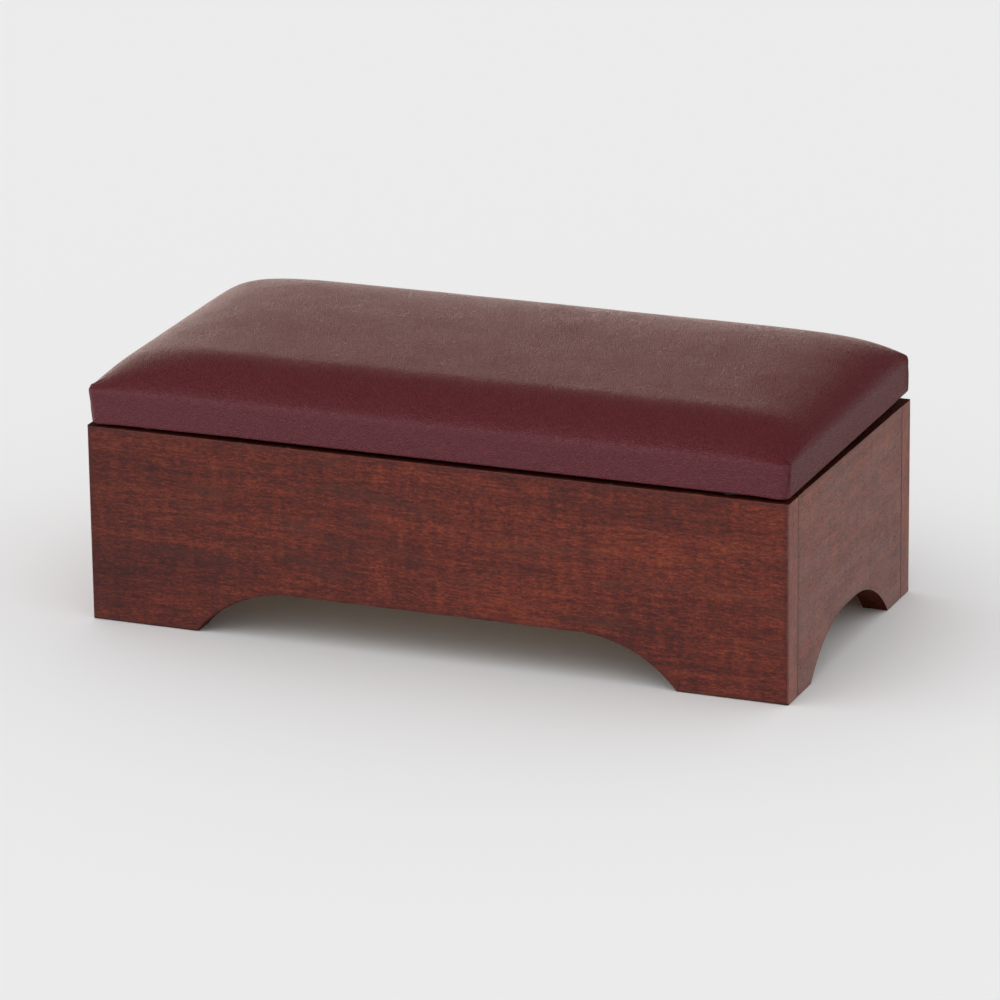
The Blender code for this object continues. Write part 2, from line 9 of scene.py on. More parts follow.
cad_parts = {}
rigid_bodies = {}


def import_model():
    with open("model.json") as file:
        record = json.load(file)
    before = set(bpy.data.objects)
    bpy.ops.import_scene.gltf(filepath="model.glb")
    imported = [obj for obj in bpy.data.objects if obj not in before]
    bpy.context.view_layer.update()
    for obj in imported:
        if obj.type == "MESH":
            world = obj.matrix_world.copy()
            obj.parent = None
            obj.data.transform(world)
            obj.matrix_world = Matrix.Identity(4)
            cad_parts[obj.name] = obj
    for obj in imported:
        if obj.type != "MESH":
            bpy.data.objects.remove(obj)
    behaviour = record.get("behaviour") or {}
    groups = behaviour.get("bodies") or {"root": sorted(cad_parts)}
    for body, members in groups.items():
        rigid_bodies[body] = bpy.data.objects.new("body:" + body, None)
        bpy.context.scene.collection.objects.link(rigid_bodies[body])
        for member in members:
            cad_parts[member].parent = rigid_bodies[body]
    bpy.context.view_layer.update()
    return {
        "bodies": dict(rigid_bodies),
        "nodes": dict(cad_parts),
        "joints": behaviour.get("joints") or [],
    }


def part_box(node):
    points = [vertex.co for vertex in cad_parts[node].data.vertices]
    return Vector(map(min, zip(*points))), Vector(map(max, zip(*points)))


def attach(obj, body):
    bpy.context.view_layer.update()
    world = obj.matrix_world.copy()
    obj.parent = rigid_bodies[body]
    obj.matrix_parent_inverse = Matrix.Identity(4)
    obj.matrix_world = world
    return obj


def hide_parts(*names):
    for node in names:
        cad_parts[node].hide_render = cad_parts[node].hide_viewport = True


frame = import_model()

nodes, bodies, joints = frame["nodes"], frame["bodies"], frame["joints"]
scene = bpy.context.scene
scene.view_settings.view_transform = "Standard"
scene.view_settings.look = "None"

# ------------------------------------------------------------------ places, from the CAD
front_lo, front_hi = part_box("front_panel")
back_lo, back_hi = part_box("back_panel")
left_lo, left_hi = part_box("left_side_panel")
right_lo, right_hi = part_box("right_side_panel")
HALF_W = front_hi.x
BOX_H = front_hi.z
Y_MID = (front_lo.y + back_hi.y) / 2
HALF_D = (back_hi.y - front_lo.y) / 2
T = 0.018
hinge = Vector(next(j for j in joints if j["name"] == "lid_hinge")["pos_m"])
TILT = math.radians(0.87)
CT, ST = math.cos(TILT), math.sin(TILT)


def lid_world(p):
    """Lid coordinates (x, y from the box's middle, height above the hinge axis) to the row frame."""
    x, y, w = p
    v = y - (hinge.y - Y_MID)
    return Vector((x, hinge.y + v * CT - w * ST, hinge.z + v * ST + w * CT))


# ------------------------------------------------------------------ node helpers
class Mat:
    """Builds a node material with short calls."""

    def __init__(self, name):
        self.m = bpy.data.materials.new(name)
        self.m.use_nodes = True
        self.t = self.m.node_tree
        self.t.nodes.clear()
        self.out = self.t.nodes.new("ShaderNodeOutputMaterial")
        self.bsdf = self.t.nodes.new("ShaderNodeBsdfPrincipled")
        self.t.links.new(self.bsdf.outputs[0], self.out.inputs[0])
        self.coord = self.t.nodes.new("ShaderNodeTexCoord").outputs["Object"]

    def put(self, sock, v):
        if isinstance(v, bpy.types.NodeSocket):
            self.t.links.new(v, sock)
        else:
            sock.default_value = v

    def set(self, **kw):
        names = {"color": "Base Color", "rough": "Roughness", "metal": "Metallic", "spec": "Specular IOR Level",
                 "normal": "Normal", "coat": "Coat Weight", "coat_rough": "Coat Roughness", "sheen": "Sheen Weight",
                 "sheen_rough": "Sheen Roughness", "ior": "IOR", "aniso": "Anisotropic"}
        for k, v in kw.items():
            self.put(self.bsdf.inputs[names[k]], v)
        return self.m

    def scaled(self, scale, offset=(0, 0, 0), coord=None):
        n = self.t.nodes.new("ShaderNodeMapping")
        n.inputs["Scale"].default_value = scale
        n.inputs["Location"].default_value = offset
        self.put(n.inputs["Vector"], coord or self.coord)
        return n.outputs[0]

    def noise(self, coord, scale=1.0, detail=4.0, rough=0.55, distortion=0.0, lac=2.0):
        n = self.t.nodes.new("ShaderNodeTexNoise")
        n.noise_dimensions = "3D"
        self.put(n.inputs["Vector"], coord)
        n.inputs["Scale"].default_value = scale
        n.inputs["Detail"].default_value = detail
        n.inputs["Roughness"].default_value = rough
        n.inputs["Lacunarity"].default_value = lac
        n.inputs["Distortion"].default_value = distortion
        return n.outputs["Fac"]

    def voronoi(self, coord, scale, feature="F1", rand=1.0, smooth=None):
        n = self.t.nodes.new("ShaderNodeTexVoronoi")
        n.feature = feature
        self.put(n.inputs["Vector"], coord)
        n.inputs["Scale"].default_value = scale
        n.inputs["Randomness"].default_value = rand
        if smooth is not None and "Smoothness" in n.inputs:
            n.inputs["Smoothness"].default_value = smooth
        return n.outputs["Distance"]

    def math(self, op, a, b=None, c=None, clamp=False):
        n = self.t.nodes.new("ShaderNodeMath")
        n.operation = op
        n.use_clamp = clamp
        for s, v in zip(n.inputs, (a, b, c)):
            if v is not None:
                self.put(s, v)
        return n.outputs[0]

    def remap(self, v, a, b, lo=0.0, hi=1.0, kind="SMOOTHSTEP"):
        n = self.t.nodes.new("ShaderNodeMapRange")
        n.interpolation_type = kind
        self.put(n.inputs["Value"], v)
        for k, x in (("From Min", a), ("From Max", b), ("To Min", lo), ("To Max", hi)):
            n.inputs[k].default_value = x
        return n.outputs["Result"]

    def ramp(self, v, stops, kind="LINEAR"):
        n = self.t.nodes.new("ShaderNodeValToRGB")
        n.color_ramp.interpolation = kind
        e = n.color_ramp.elements
        while len(e) > 1:
            e.remove(e[-1])
        e[0].position, e[0].color = stops[0][0], (*stops[0][1], 1)
        for p, c in stops[1:]:
            x = e.new(p)
            x.color = (*c, 1)
        self.put(n.inputs[0], v)
        return n.outputs["Color"]

    def mix(self, fac, a, b, blend="MIX"):
        n = self.t.nodes.new("ShaderNodeMix")
        n.data_type = "RGBA"
        n.blend_type = blend
        n.clamp_factor = True
        self.put(n.inputs[0], fac)
        for s, v in ((n.inputs[6], a), (n.inputs[7], b)):
            self.put(s, (*v, 1) if isinstance(v, tuple) and len(v) == 3 else v)
        return n.outputs[2]

    def attr(self, name):
        n = self.t.nodes.new("ShaderNodeAttribute")
        n.attribute_name = name
        return n.outputs["Fac"]

    def xyz(self, v=None):
        n = self.t.nodes.new("ShaderNodeSeparateXYZ")
        self.put(n.inputs[0], v or self.coord)
        return n.outputs

    def bump(self, height, strength, distance, normal=None):
        n = self.t.nodes.new("ShaderNodeBump")
        n.inputs["Strength"].default_value = strength
        n.inputs["Distance"].default_value = distance
        self.put(n.inputs["Height"], height)
        if normal is not None:
            self.put(n.inputs["Normal"], normal)
        return n.outputs[0]


# ------------------------------------------------------------------ materials
def stained_wood(name, grain="X", seed=0.0, figure=1.0, depth=1.0, gloss=0.26, fade=1.0, glare_veil=0.0):
    """Open-grained veneer under a red-brown stain and a satin lacquer. grain is the axis that the fibres follow."""
    m = Mat(name)
    along = {"X": 0, "Y": 1, "Z": 2}[grain]

    def fibre(length, width, offset=0.0, coord=None):
        s = [1.0 / width] * 3
        s[along] = 1.0 / length
        return m.scaled(s, (seed * 3.1 + offset, seed * 1.7 - offset, seed * 2.3 + 0.5 * offset), coord)

    # slow wander of the fibres, so the streaks aren't ruled straight
    wob = m.t.nodes.new("ShaderNodeTexNoise")
    m.put(wob.inputs["Vector"], fibre(0.16, 0.07, 4.0))
    wob.inputs["Scale"].default_value = 1.0
    wob.inputs["Detail"].default_value = 2.0
    shift = m.t.nodes.new("ShaderNodeVectorMath")
    shift.operation = "MULTIPLY_ADD"
    m.put(shift.inputs[0], wob.outputs["Color"])
    w = [0.010] * 3
    w[along] = 0.0
    shift.inputs[1].default_value = w
    m.put(shift.inputs[2], m.coord)
    c = shift.outputs[0]

    parts = [
        (m.noise(fibre(0.120, 0.034, 0.0, c), 1.0, 2.0, 0.5, 0.3), 0.80 * figure),     # broad clouds
        (m.noise(fibre(0.150, 0.0075, 1.0, c), 1.0, 3.0, 0.55), 0.80 * figure),        # growth bands
        (m.noise(fibre(0.022, 0.0024, 2.0, c), 1.0, 4.0, 0.60), 1.10),        # streaks
        (m.noise(fibre(0.0046, 0.0013, 3.0, c), 1.0, 2.0, 0.60), 1.45),       # short dashes
        (m.noise(fibre(0.0020, 0.00075, 3.5, c), 1.0, 2.0, 0.60), 1.25),      # hair-fine fibre
        (m.noise(fibre(0.0060, 0.030, 5.0, c), 1.0, 2.0, 0.5), 0.60),         # faint cross figure
    ]
    tone = 0.5
    for fac, weight in parts:
        tone = m.math("ADD", m.math("MULTIPLY_ADD", fac, weight, -0.5 * weight), tone)
    fine = parts[4][0]
    streak = parts[2][0]
    pore = m.remap(m.noise(fibre(0.0042, 0.00080, 6.0, c), 1.0, 1.5, 0.5), 0.33, 0.40, 1.0, 0.0)
    d = depth
    base = m.ramp(tone, [
        (0.05, (0.056 * d, 0.0105 * d, 0.0060 * d)),
        (0.32, (0.098 * d, 0.0155 * d, 0.0078 * d)),
        (0.52, (0.134 * d, 0.0205 * d, 0.0096 * d)),
        (0.72, (0.176 * d, 0.0290 * d, 0.0124 * d)),
        (0.97, (0.238 * d, 0.0460 * d, 0.0180 * d)),
    ])
    # grey-green mineral shadow in the broad dark figure
    shadow = m.remap(m.noise(fibre(0.060, 0.012, 7.0, c), 1.0, 3.0, 0.5), 0.54, 0.70, 0.0, 0.42 * figure)
    base = m.mix(shadow, base, (0.074 * d, 0.0255 * d, 0.0150 * d))
    base = m.mix(m.math("MULTIPLY", pore, 0.55), base, (0.034, 0.0105, 0.0080))
    if glare_veil:
        # pale greyish veil over the stain: painted reflection, standing in for the glare of the bright backdrop on the
        # faces that look to the side
        base = m.mix(glare_veil, base, (0.200, 0.100, 0.080))
    if fade != 1.0:
        # darker towards the left end of the board
        px, _, _ = m.xyz(m.coord)
        lay = m.remap(px, -0.25, -0.05, fade, 1.0)
        base = m.mix(1.0, base, lay, "MULTIPLY")
    # painted shade along every arris, fading out a few millimetres in; the very arris is painted a little lighter,
    # partly as wear and partly as a painted highlight
    edge = m.attr("edge")
    base = m.mix(m.remap(edge, 0.15, 0.95, 0.0, 0.34), base, (0.058 * d, 0.0125 * d, 0.0095 * d))
    wear_and_highlight = m.math("MULTIPLY", m.remap(edge, 0.95, 1.0), m.remap(m.noise(m.scaled((60, 60, 60)), 1.0, 3.0), 0.52, 0.70, 0.0, 0.45))
    base = m.mix(wear_and_highlight, base, (0.175, 0.060, 0.032))
    rough = m.remap(m.noise(fibre(0.05, 0.012, 8.0), 1.0, 4.0), 0.3, 0.7, 0.33, 0.43)
    rough = m.math("MULTIPLY_ADD", pore, 0.12, rough)
    if gloss < 0.1:
        rough = m.math("ADD", rough, 0.45)   # sawn edges take no lacquer
    height = m.math("MULTIPLY_ADD", pore, -1.0, m.math("MULTIPLY", fine, 0.45))
    height = m.math("MULTIPLY_ADD", streak, 0.5, height)
    return m.set(color=base, rough=rough, spec=gloss, normal=m.bump(height, 0.45, 0.00012))


def burgundy_vinyl():
    """Pebbled, leather-grained vinyl."""
    m = Mat("burgundy_vinyl")
    c = m.coord
    jit = m.t.nodes.new("ShaderNodeTexNoise")
    m.put(jit.inputs["Vector"], c)
    jit.inputs["Scale"].default_value = 420.0
    jit.inputs["Detail"].default_value = 2.0
    add = m.t.nodes.new("ShaderNodeVectorMath")
    add.operation = "MULTIPLY_ADD"
    m.put(add.inputs[0], jit.outputs["Color"])
    add.inputs[1].default_value = (0.0009, 0.0009, 0.0009)
    m.put(add.inputs[2], c)
    cells = m.voronoi(add.outputs[0], 640.0, "DISTANCE_TO_EDGE")
    pebble = m.remap(cells, 0.0, 0.30)
    cells2 = m.voronoi(add.outputs[0], 1350.0, "F1")
    fine = m.noise(c, 2600.0, 2.0, 0.6)
    slow = m.noise(c, 38.0, 4.0, 0.55)
    crease = m.math("SUBTRACT", 1.0, pebble)
    height = m.math("MULTIPLY_ADD", cells2, -0.35, pebble)
    height = m.math("MULTIPLY_ADD", fine, 0.20, height)
    height = m.math("MULTIPLY_ADD", m.noise(c, 400.0, 2.0, 0.55), 2.0, height)
    height = m.math("MULTIPLY_ADD", m.noise(c, 170.0, 2.0, 0.5), 1.4, height)
    base = m.mix(slow, (0.128, 0.0135, 0.0186), (0.151, 0.0172, 0.0226))
    speck = m.remap(m.noise(c, 430.0, 3.0, 0.65), 0.36, 0.64, 0.0, 1.0, "LINEAR")
    base = m.mix(m.math("MULTIPLY", speck, 0.55), base, (0.185, 0.0290, 0.0370))
    base = m.mix(m.math("MULTIPLY", m.math("SUBTRACT", 1.0, speck), 0.30), base, (0.070, 0.0080, 0.0110))
    # painted shade: darker in the creases between the pebbles of the grain
    base = m.mix(m.math("MULTIPLY", crease, 0.50), base, (0.066, 0.0085, 0.0110))
    # painted shade: much darker along the grooves of the corner folds and the mitred folds underneath, from the fold
    # mask
    base = m.mix(m.math("MULTIPLY", m.attr("fold_shade"), 0.85), base, (0.020, 0.0035, 0.0045))
    rough = m.remap(slow, 0.3, 0.7, 0.25, 0.31, "LINEAR")
    rough = m.math("MULTIPLY_ADD", crease, 0.12, rough)
    return m.set(color=base, rough=rough, spec=0.40, normal=m.bump(height, 1.0, 0.00028))


def vinyl_backing():
    """The woven cloth back of the vinyl, seen only at its cut edge."""
    m = Mat("vinyl_backing")
    x, y, z = m.xyz(m.scaled((1400, 1400, 1400)))
    weave = m.math("MULTIPLY", m.math("SINE", x), m.math("SINE", y))
    base = m.mix(m.remap(weave, -1, 1), (0.34, 0.31, 0.28), (0.52, 0.49, 0.45))
    return m.set(color=base, rough=0.9, spec=0.2, normal=m.bump(weave, 0.4, 0.0001))


def pale_wood(name, grain, seed, dark=1.0, plies=None):
    """Unfinished light timber or plywood."""
    m = Mat(name)
    along = {"X": 0, "Y": 1, "Z": 2}[grain]

    def fibre(length, width):
        s = [1.0 / width] * 3
        s[along] = 1.0 / length
        return m.scaled(s, (seed, seed * 2, seed * 3))
    ring = m.noise(fibre(0.35, 0.012), 1.0, 4.0, 0.6, 0.6)
    hair = m.noise(fibre(0.03, 0.0007), 1.0, 4.0, 0.65)
    t = m.math("MULTIPLY_ADD", hair, 0.45, m.math("MULTIPLY", ring, 0.75))
    base = m.ramp(m.remap(t, 0.42, 0.80, 0, 1, "LINEAR"), [
        (0.0, (0.34 * dark, 0.215 * dark, 0.115 * dark)), (0.5, (0.50 * dark, 0.345 * dark, 0.200 * dark)),
        (1.0, (0.62 * dark, 0.455 * dark, 0.290 * dark))])
    if plies:
        z = m.xyz()[2]
        layer = m.math("SINE", m.math("MULTIPLY", m.math("SUBTRACT", z, plies[0]), 2 * math.pi / plies[1]))
        side = m.math("ABSOLUTE", m.xyz(m.t.nodes.new("ShaderNodeNewGeometry").outputs["Normal"])[2])
        onedge = m.remap(side, 0.2, 0.6, 1.0, 0.0)
        base = m.mix(m.math("MULTIPLY", m.remap(layer, -0.2, 0.5), m.math("MULTIPLY", onedge, 0.6)), base, (0.22, 0.125, 0.06))
    return m.set(color=base, rough=0.66, spec=0.3, normal=m.bump(hair, 0.3, 0.00012))


def particle_board():
    m = Mat("particle_board")
    chip = m.voronoi(m.scaled((330, 330, 700)), 1.0, "F1")
    n = m.noise(m.coord, 500.0, 3.0)
    base = m.ramp(m.math("MULTIPLY_ADD", n, 0.5, chip), [(0.2, (0.20, 0.13, 0.07)), (0.55, (0.43, 0.31, 0.18)), (0.95, (0.60, 0.47, 0.30))])
    return m.set(color=base, rough=0.85, spec=0.2, normal=m.bump(chip, 0.5, 0.0002))


def foam():
    m = Mat("foam")
    cell = m.voronoi(m.coord, 1300.0, "F1")
    base = m.mix(m.remap(cell, 0.1, 0.7), (0.52, 0.44, 0.20), (0.78, 0.70, 0.42))
    return m.set(color=base, rough=0.95, spec=0.1, normal=m.bump(cell, 0.7, 0.0003))


def cambric():
    """Black non-woven dust cloth: pressed fibres with a pattern of small bond points."""
    m = Mat("black_cambric")
    x, y, z = m.xyz(m.scaled((2400, 2400, 2400)))
    dots = m.math("MULTIPLY", m.math("SINE", x), m.math("SINE", y))
    fibre = m.noise(m.scaled((900, 240, 900)), 1.0, 4.0, 0.7)
    fibre2 = m.noise(m.scaled((240, 900, 900), (3, 5, 1)), 1.0, 4.0, 0.7)
    f = m.math("MULTIPLY", m.math("ADD", fibre, fibre2), 0.5)
    base = m.mix(m.remap(f, 0.35, 0.65), (0.008, 0.008, 0.0085), (0.030, 0.030, 0.031))
    h = m.math("MULTIPLY_ADD", m.remap(dots, 0.3, 0.9), -0.6, f)
    return m.set(color=base, rough=0.88, spec=0.25, sheen=0.15, sheen_rough=0.5, normal=m.bump(h, 0.5, 0.00015))


def plated(name, dark, light, axis=0, rough=0.32):
    """Plated steel with drawn scratches and some dulling."""
    m = Mat(name)
    s = [1600.0] * 3
    s[axis] = 45.0
    hair = m.noise(m.scaled(s), 1.0, 3.0, 0.6)
    blot = m.noise(m.coord, 160.0, 4.0, 0.6)
    base = m.mix(m.remap(blot, 0.35, 0.7), dark, light)
    base = m.mix(m.math("MULTIPLY", m.remap(hair, 0.3, 0.7), 0.25), base, tuple(min(1.0, 1.2 * v) for v in light))
    r = m.math("MULTIPLY_ADD", hair, 0.18, m.remap(blot, 0.3, 0.75, rough - 0.06, rough + 0.12))
    return m.set(color=base, metal=1.0, rough=r, normal=m.bump(hair, 0.15, 0.00003))


def rubber():
    m = Mat("black_rubber")
    n = m.noise(m.coord, 900.0, 4.0, 0.6)
    base = m.mix(n, (0.012, 0.011, 0.011), (0.034, 0.031, 0.030))
    return m.set(color=base, rough=0.78, spec=0.35, normal=m.bump(n, 0.3, 0.0001))


VINYL = burgundy_vinyl()
BACKING = vinyl_backing()
FRONT_WOOD = stained_wood("veneer_front", "X", 1.0, fade=0.76)
BACK_WOOD = stained_wood("veneer_back", "X", 5.0)
# the side boards and the edge band are brighter copies of the veneer (depth 1.45 and 1.60) with a pale veil: painted
# reflection, standing in for the glare of the backdrop on the faces that look to the side
RIGHT_WOOD = stained_wood("veneer_right", "Y", 2.0, 0.55, 1.45, 0.84, glare_veil=0.20)
LEFT_WOOD = stained_wood("veneer_left", "Y", 7.0, 0.55, 1.45, 0.84, glare_veil=0.20)
EDGE_BAND = stained_wood("veneer_edge_band", "Z", 3.0, 0.6, 1.60, 0.82, glare_veil=0.16)
# the cut edges, in the gap under the lid, under the arches and on the steeper faces of the rounded arrises, are a copy
# at about a third of the brightness (depth 0.34): painted shade
SHADED_CUT_EDGE_X = stained_wood("shaded_cut_edge_long", "X", 4.0, 1.0, 0.34, 0.05)
SHADED_CUT_EDGE_Y = stained_wood("shaded_cut_edge_short", "Y", 6.0, 1.0, 0.34, 0.05)
PLY = pale_wood("floor_plywood", "X", 2.0, 0.95, plies=(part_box("storage_floor")[0].z, 0.002))
CLEAT_X = pale_wood("cleat_long", "X", 4.0, 0.9)
CLEAT_Y = pale_wood("cleat_short", "Y", 6.0, 0.9)
DOWEL = pale_wood("dowel_birch", "Y", 9.0, 1.05)
CHIP = particle_board()
FOAM = foam()
CAMBRIC = cambric()
ZINC = plated("zinc_plate", (0.42, 0.40, 0.36), (0.66, 0.64, 0.60), 1)
BRASSED = plated("brass_plate", (0.40, 0.27, 0.11), (0.62, 0.45, 0.20), 0, 0.28)
STAPLE = plated("staple_wire", (0.40, 0.40, 0.40), (0.68, 0.68, 0.68), 0, 0.25)
RUBBER = rubber()


def dress(node, *mats):
    o = nodes[node]
    o.data.materials.clear()
    for m in mats:
        o.data.materials.append(m)
    for p in o.data.polygons:
        p.material_index = 0


# ------------------------------------------------------------------ mesh helpers
def new_piece(name, bm, mats, smooth=None):
    bm.normal_update()
    me = bpy.data.meshes.new(name)
    bm.to_mesh(me)
    bm.free()
    for m in mats if isinstance(mats, (list, tuple)) else [mats]:
        me.materials.append(m)
    if smooth is not None:
        me.shade_smooth()
        if smooth < 180:
            me.set_sharp_from_angle(angle=math.radians(smooth))
    o = bpy.data.objects.new(name, me)
    scene.collection.objects.link(o)
    return o


def apply_modifiers(o):
    dg = bpy.context.evaluated_depsgraph_get()
    dg.update()
    me = bpy.data.meshes.new_from_object(o.evaluated_get(dg))
    old = o.data
    o.modifiers.clear()
    o.data = me
    if old.users == 0:
        bpy.data.meshes.remove(old)


# ------------------------------------------------------------------ wooden panels
ARCH_H, ARCH_R = 0.0324, 0.0904


def arched(half_len, half_arch, steps=36):
    phi = math.acos(1 - ARCH_H / ARCH_R)
    run = ARCH_R * math.sin(phi)
    arc = []
    for i in range(steps + 1):
        a = phi * (1 - i / steps)
        arc.append((-(half_arch - run) - ARCH_R * math.sin(a), ARCH_H - ARCH_R * (1 - math.cos(a))))
    arc[0] = (-half_arch, 0.0)
    return [(-half_len, 0.0)] + arc + [(-x, z) for x, z in reversed(arc)] + [(half_len, 0.0), (half_len, BOX_H), (-half_len, BOX_H)]


def panel(name, node, half_len, half_arch, axis, lo, hi, outer, mats, round_outer, body="box"):
    """A panel with rounded arrises. The vertex attribute edge is 1 on an arris and 0 from 5 mm in."""
    bm = bmesh.new()
    place = (lambda a, t, b: (a, t, b)) if axis == "Y" else (lambda a, t, b: (t, a + Y_MID, b))
    pts = arched(half_len, half_arch)
    base = bm.faces.new([bm.verts.new(place(a, lo, b)) for a, b in pts])
    ext = bmesh.ops.extrude_face_region(bm, geom=[base])
    step = (0, hi - lo, 0) if axis == "Y" else (hi - lo, 0, 0)
    bmesh.ops.translate(bm, verts=[v for v in ext["geom"] if isinstance(v, bmesh.types.BMVert)], vec=step)
    bmesh.ops.recalc_face_normals(bm, faces=bm.faces)
    k = 1 if axis == "Y" else 0

    def sharp(e, deg):
        return len(e.link_faces) == 2 and e.calc_face_angle(0) > math.radians(deg)
    on_outer = [e for e in bm.edges if sharp(e, 25) and all(abs(v.co[k] - outer) < 1e-6 for v in e.verts)]
    if round_outer > 0.0005:
        bmesh.ops.bevel(bm, geom=on_outer, offset=round_outer, offset_type="OFFSET", segments=5, profile=0.5, affect="EDGES")
    rest = [e for e in bm.edges if sharp(e, 50)]
    bmesh.ops.bevel(bm, geom=rest, offset=0.00045, offset_type="OFFSET", segments=2, profile=0.5, affect="EDGES")
    # keep the painted shade close to the arrises: lines 3 mm in on the cut faces and 4.5 mm in on the big ones
    for at in (lo + 0.003, hi - 0.003):
        co, no = [0, 0, 0], [0, 0, 0]
        co[k], no[k] = at, 1
        bmesh.ops.bisect_plane(bm, geom=bm.verts[:] + bm.edges[:] + bm.faces[:], plane_co=co, plane_no=no)
    bm.faces.ensure_lookup_table()
    big = [f for f in bm.faces if f.calc_area() > 0.01]
    marks = bm.verts.layers.float.new("edge")
    for v in bm.verts:
        v[marks] = 0.0 if lo + 0.0025 < v.co[k] < hi - 0.0025 else 1.0
    for f in big:
        bmesh.ops.inset_region(bm, faces=[f], thickness=0.0045, depth=0.0, use_even_offset=True, use_boundary=True)
        for v in f.verts:
            v[marks] = 0.0
    for f in bm.faces:
        n = f.normal
        if abs(n[k]) > 0.7:
            f.material_index = 0
        elif abs(n[1 - k]) > 0.7 and f.calc_center_median().z > 0.0 and f.calc_area() > 1e-5 and abs(n.z) < 0.3 and (f.calc_center_bounds()[1 - k] ** 2 > 0):
            f.material_index = 1
        else:
            f.material_index = 2
    o = new_piece(name, bm, mats, smooth=35)
    # the arch's cut faces are nearly upright at their feet: only the true ends take the band
    for p in o.data.polygons:
        c = p.center
        a = abs(c.x) if axis == "Y" else abs(c.y - Y_MID)
        if p.material_index == 1 and a < half_len - 0.004:
            p.material_index = 2
    w = o.modifiers.new("weighted", "WEIGHTED_NORMAL")
    w.keep_sharp = True
    w.weight = 80
    apply_modifiers(o)
    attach(o, body)
    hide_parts(node)
    return o


front = panel("front_board", "front_panel", HALF_W, 0.1705, "Y", front_lo.y, front_hi.y, front_lo.y, [FRONT_WOOD, EDGE_BAND, SHADED_CUT_EDGE_X], 0.0014)
back = panel("back_board", "back_panel", HALF_W, 0.1705, "Y", back_lo.y, back_hi.y, back_hi.y, [BACK_WOOD, EDGE_BAND, SHADED_CUT_EDGE_X], 0.0014)
right = panel("right_side_board", "right_side_panel", (right_hi.y - right_lo.y) / 2, 0.0775, "X", right_lo.x, right_hi.x, right_hi.x, [RIGHT_WOOD, EDGE_BAND, SHADED_CUT_EDGE_Y], 0.0)
left = panel("left_side_board", "left_side_panel", (left_hi.y - left_lo.y) / 2, 0.0775, "X", left_lo.x, left_hi.x, left_lo.x, [LEFT_WOOD, EDGE_BAND, SHADED_CUT_EDGE_Y], 0.0)

dress("storage_floor", PLY)
for n in ("front_cleat", "rear_cleat"):
    dress(n, CLEAT_X)
for n in ("left_cleat", "right_cleat"):
    dress(n, CLEAT_Y)
for n in nodes:
    if n.endswith("_dowel"):
        dress(n, DOWEL)
    elif n.endswith("_bumper"):
        dress(n, RUBBER)
    elif "hinge" in n:
        dress(n, BRASSED)
    elif n.startswith("stay_"):
        dress(n, ZINC)
    elif "leaf_screw" in n:
        dress(n, BRASSED)
dress("lid_board", CHIP)
dress("foam_pad", FOAM)

# ------------------------------------------------------------------ the padded cover
LID_W0, BAND_H = 0.00305, 0.0228
HX = (0.2450, 0.2470)
HX_LOW = {-1: 0.2447, 1: 0.2466}   # the wrap is pulled in a little more at the left end
YF = (0.1218, 0.1229)
YR = (0.1220, 0.1232)
CORNER = 0.0055
CROWN_H, CROWN_SLOPE = 0.02094, 0.0025
LX, LR, EX, CP = 0.2296, 0.1604, 9.67, 0.60
LF, EF = 0.053, 1.55   # the front rolls over nearer the sitter: softer, and from further back
MARGIN = 0.038
COVER_T = 0.0012
W_TOP = LID_W0 + BAND_H


def crown(x, y, k=1.0):
    def rise(d, reach, power=EX):
        return 1 - (1 - min(max(d, 0.0) / reach, 1.0)) ** power
    s = (rise(HX[1] - abs(x), LX) * rise(y + YF[1], LF, EF) * rise(YR[1] - y, LR)) ** CP
    return (CROWN_H + CROWN_SLOPE * y / 0.122) * s * k


def lines(lo, hi):
    """Positions from -lo to hi, close together near both ends."""
    near = [0, 0.7, 1.4, 2.1, 2.8, 3.5, 4.1, 4.7, 5.3, 6.0, 7.0, 8.3, 10.0, 12.2, 15.0, 18.5, 22.5]
    a = [-lo + v / 1000 for v in near]
    b = [hi - v / 1000 for v in reversed(near)]
    gap = b[0] - a[-1]
    n = round(gap / 0.0044)
    return a + [a[-1] + gap * i / n for i in range(1, n)] + b


def outline_point(gx, gy, hx, yf, yr, r):
    """A point of the full-size grid, moved to an outline of another size with rounded corners."""
    x = gx * hx / HX[1]
    y = gy * (yf / YF[1] if gy < 0 else yr / YR[1])
    ry = yf if gy < 0 else yr
    a, b = (abs(x) - (hx - r)) / r, (abs(y) - (ry - r)) / r
    if a > 0 and b > 0:
        k = max(a, b) / math.hypot(a, b)
        x = math.copysign(hx - r + a * k * r, x)
        y = math.copysign(ry - r + b * k * r, y)
    return x, y


